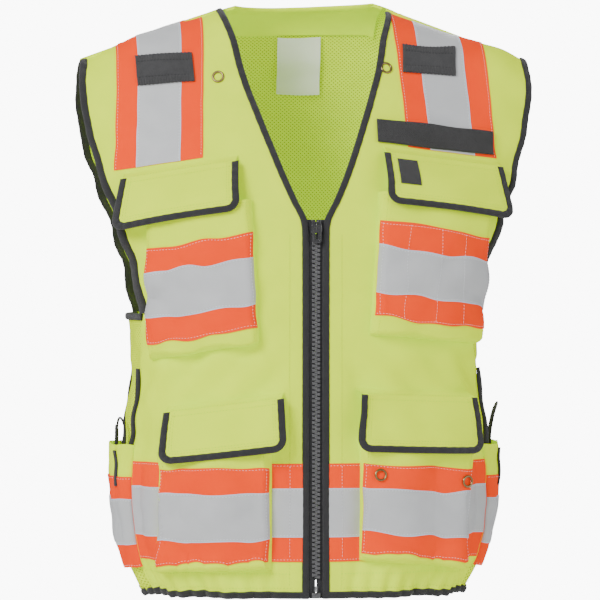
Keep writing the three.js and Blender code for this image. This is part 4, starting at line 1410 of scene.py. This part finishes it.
for side_name, side in sides:
    foot, head = chain_foot, chain_head[side_name]
    u, v = grid(24, 300)
    tape_inner, tape_outer = 0.0006, zip_edge + 0.0030
    x = side * (tape_inner + (tape_outer - tape_inner) * u)
    z = hem + 0.0005 + (zip_top - hem - 0.0005) * (1 - v)
    rib = 0.00010 * np.sin(2 * math.pi * u * 4)
    points = np.stack([x, np.full_like(x, tape_front) - rib, z], -1)
    back = points + (0, 0.0007, 0)
    tape = dress(closed_grid(f"zip_tape_cloth_{side_name}", back, points), black_tape, "black_binding",
                 f"zip_tape_{side_name}")
    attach(tape, f"front_{side_name}")

    offset = 0 if side_name == "right" else tooth_pitch / 2
    first = math.ceil((foot + 0.002 - offset) / tooth_pitch)
    last = math.floor((head - 0.002 - offset) / tooth_pitch)
    heights = offset + tooth_pitch * np.arange(first, last + 1)
    middle = (teeth_back + teeth_front) / 2
    at = [np.stack([np.full_like(heights, side * x), np.full_like(heights, y), heights], -1)
          for x, y in ((0.0029, middle), (0.0010, middle - 0.0001), (-0.0006, middle - 0.0001))]
    teeth = blocks(f"zip_teeth_moulded_{side_name}", [
        ((0.0027, 0.0024, 0.0034, 0.0006), at[0]), ((0.0026, 0.0020, 0.0026, 0.0006), at[1]),
        ((0.0018, 0.0020, 0.0018, 0.0006), at[2])])
    dress(teeth, resin, "zip_resin", f"zip_teeth_{side_name}")
    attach(teeth, f"front_{side_name}")

pin_height = 0.0065
for side_name, side in sides:
    pin_place = (side * 0.00115, teeth_back - 0.0012, zip_top - zip_length + pin_height / 2)
    pin = blocks(f"zip_foot_pin_{side_name}", [((0.0021, 0.0024, pin_height, 0.0005), [pin_place])])
    dress(pin, resin, "zip_resin")
    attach(pin, f"front_{side_name}")

box_height = 0.0060
box_middle = zip_top - zip_length - 0.0004 - box_height / 2
box = blocks("zip_retainer_box", [
    ((0.0090, 0.0040, box_height, 0.0010), [(0.0, teeth_back - 0.0016, box_middle)]),
    ((0.0050, 0.0046, 0.0030, 0.0006), [(0.0, teeth_back - 0.0016, box_middle)])])
dress(box, resin, "zip_resin")
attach(box, "front_right")

# ---------------------------------------------------------------- slider and pull tab
# A black enamelled slider: two flared plates joined by a wedge, a bridge on the front plate, and
# a long pull tab with a raised rim and a slot that hangs from the bridge.
enamel = hard_material("slider_enamel", (0.030, 0.030, 0.033), (0.014, 0.014, 0.016), 350,
                       {"Roughness": 0.22, "Coat Weight": 0.6, "Coat Roughness": 0.12})

slider_foot = zip_top - slider_height
plate_thickness = 0.0014


def plate(name, outline, back, front, hole=None, bevel=0.0004):
    """A flat plate facing forward: an outline of (x, z) points, with a hole of as many points if
    one is given, joined front to back, its sharp edges rounded."""
    outline = np.asarray(outline, float)
    count = len(outline)
    rings = [outline] if hole is None else [outline, np.asarray(hole, float)]
    work = bmesh.new()
    layers = [[[work.verts.new((x, y, z)) for x, z in ring] for ring in rings] for y in (back, front)]
    for which, layer in enumerate(layers):
        if hole is None:
            work.faces.new(layer[0] if which else layer[0][::-1])
        else:
            for i in range(count):
                j = (i + 1) % count
                work.faces.new([layer[0][i], layer[0][j], layer[1][j], layer[1][i]])
    for ring in range(len(rings)):
        for i in range(count):
            j = (i + 1) % count
            work.faces.new([layers[0][ring][i], layers[0][ring][j], layers[1][ring][j],
                            layers[1][ring][i]])
    bmesh.ops.recalc_face_normals(work, faces=work.faces)
    edges = [edge for edge in work.edges if edge.calc_face_angle(0) > math.radians(60)]
    bmesh.ops.bevel(work, geom=edges, offset=bevel, segments=2, profile=0.5, affect="EDGES",
                    clamp_overlap=True)
    mesh = bpy.data.meshes.new(name)
    work.to_mesh(mesh)
    work.free()
    return link_mesh(name, mesh, hard_edge)


def rounded(centre_z, half_width, half_height, corner, count=8):
    """Points round a rectangle with round corners, counted the same for every size."""
    turn = np.linspace(0, math.pi / 2, count)
    points = []
    for quarter, (across, up) in enumerate(((1, 1), (-1, 1), (-1, -1), (1, -1))):
        angle = turn + quarter * math.pi / 2
        points.append(np.stack([across * (half_width - corner) + corner * np.cos(angle),
                                centre_z + up * (half_height - corner) + corner * np.sin(angle)], -1))
    return np.concatenate(points)


half = 0.0060
shoulders = [(-0.0052, 0.0), (0.0052, 0.0), (half, 0.0012), (half, 0.0070), (0.0050, 0.0105),
             (0.0048, 0.0140), (0.0022, 0.0140), (0.0012, 0.0118), (-0.0012, 0.0118),
             (-0.0022, 0.0140), (-0.0048, 0.0140), (-0.0050, 0.0105), (-half, 0.0070), (-half, 0.0012)]
outline = [(x, slider_foot + z) for x, z in shoulders]
plate_back = teeth_front - 0.0004
front_plate = plate("slider_front_plate", outline, plate_back, plate_back - plate_thickness)
dress(front_plate, enamel, "zip_metal", "zip_slider")
back_plate = plate("slider_back_plate", outline, -half_depth + 0.0018, -half_depth + 0.0005)
dress(back_plate, enamel, "zip_metal")
wedge = blocks("slider_wedge", [
    ((0.0009, 0.0058, 0.0040, 0.0002), [(0, -half_depth - 0.0018, zip_top - 0.0042)])])
dress(wedge, enamel, "zip_metal")
bridge_rise = [(0.0016, 0.0115), (0.0034, 0.0108), (0.0046, 0.0085), (0.0046, 0.0060),
               (0.0034, 0.0035), (0.0016, 0.0026)]
bridge_path = [(0, teeth_front - proud, slider_foot + up) for proud, up in bridge_rise]
bridge = tube("slider_bridge", curve_through(bridge_path, 32), 0.0009, 16)
dress(bridge, enamel, "zip_metal")
for piece in (front_plate, back_plate, wedge, bridge):
    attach(piece, "zip_slider")

pull_middle = -0.2145
pull_front, pull_back = -half_depth - 0.0078, -half_depth - 0.0062
pull = plate("pull_tab_rim", rounded(pull_middle, 0.0050, 0.0095, 0.0022), pull_back, pull_front,
             hole=rounded(pull_middle - 0.0008, 0.0032, 0.0066, 0.0014))
dress(pull, enamel, "zip_metal", "zip_pull_tab")
web = plate("pull_tab_web", rounded(pull_middle - 0.0008, 0.0034, 0.0068, 0.0014),
            pull_back - 0.0003, pull_front + 0.0004,
            hole=rounded(pull_middle - 0.0018, 0.0014, 0.0040, 0.0010), bevel=0.0001)
dress(web, enamel, "zip_metal")
for piece in (pull, web):
    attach(piece, "zip_pull")

# ---------------------------------------------------------------- seams of the shell
# Rows of stitches that hold the shell together: beside the zip and neck bindings, beside the
# armhole bindings, above the hem, and along the side seams.
hem_rows = (0.011, 0.026)
beside_zip = 0.027
shell_row_lift, seam_row_lift, trim_row_lift, tape_row_lift = 0.0014, 0.0013, 0.0028, 0.0027
for side_name, side in sides:
    z = np.linspace(-0.215, hem + 0.012, 900)
    zip_row = stitches(f"zip_seam_thread_{side_name}",
                       [(bearing_at(side * beside_zip + 0 * z, z), z, shell_row_lift)], lime_thread)
    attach(zip_row, f"front_{side_name}")
    z = np.linspace(waist_top - 0.002, waist_top - trim_width + 0.002, 200)
    white_row = stitches(f"zip_trim_thread_{side_name}",
                         [(bearing_at(side * beside_zip + 0 * z, z), z, trim_row_lift)], pale_thread)
    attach(white_row, f"front_{side_name}")

    u, v = grid(3, 700)
    x, z = panel(u, v, lambda z: neck_edge(z) + 0.0058, lambda z: neck_edge(z) + 0.0062,
                 shoulder_top, hem + 0.010)
    rows = [(bearing_at(side * x[:, 1], z[:, 1]), z[:, 1], tape_row_lift)]
    x, z = panel(u, v, lambda z: panel_edge(z) - 0.0062, lambda z: panel_edge(z) - 0.0058,
                 shoulder_top, armhole_bottom + 0.004)
    rows.append((bearing_at(side * x[:, 1], z[:, 1]), z[:, 1], tape_row_lift))
    hang_on_front(stitches(f"binding_thread_{side_name}", rows, dark_thread))

    z = np.linspace(armhole_bottom - 0.010, hem + 0.012, 500)
    beside_seam = side * (side_seam - math.radians(1.0))
    side_row = stitches(f"side_seam_thread_{side_name}", [(beside_seam, z, seam_row_lift)], lime_thread)
    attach(side_row, f"front_{side_name}")

    bearing = side * np.linspace(math.radians(6), side_seam, 700)
    rows = [(bearing, hem + height, seam_row_lift) for height in hem_rows]
    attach(stitches(f"hem_thread_{side_name}", rows, lime_thread), f"front_{side_name}")

bearing = np.linspace(side_seam, 2 * math.pi - side_seam, 1400)
rows = [(bearing, hem + height, seam_row_lift) for height in hem_rows]
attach(stitches("hem_thread_back", rows, lime_thread), "back")
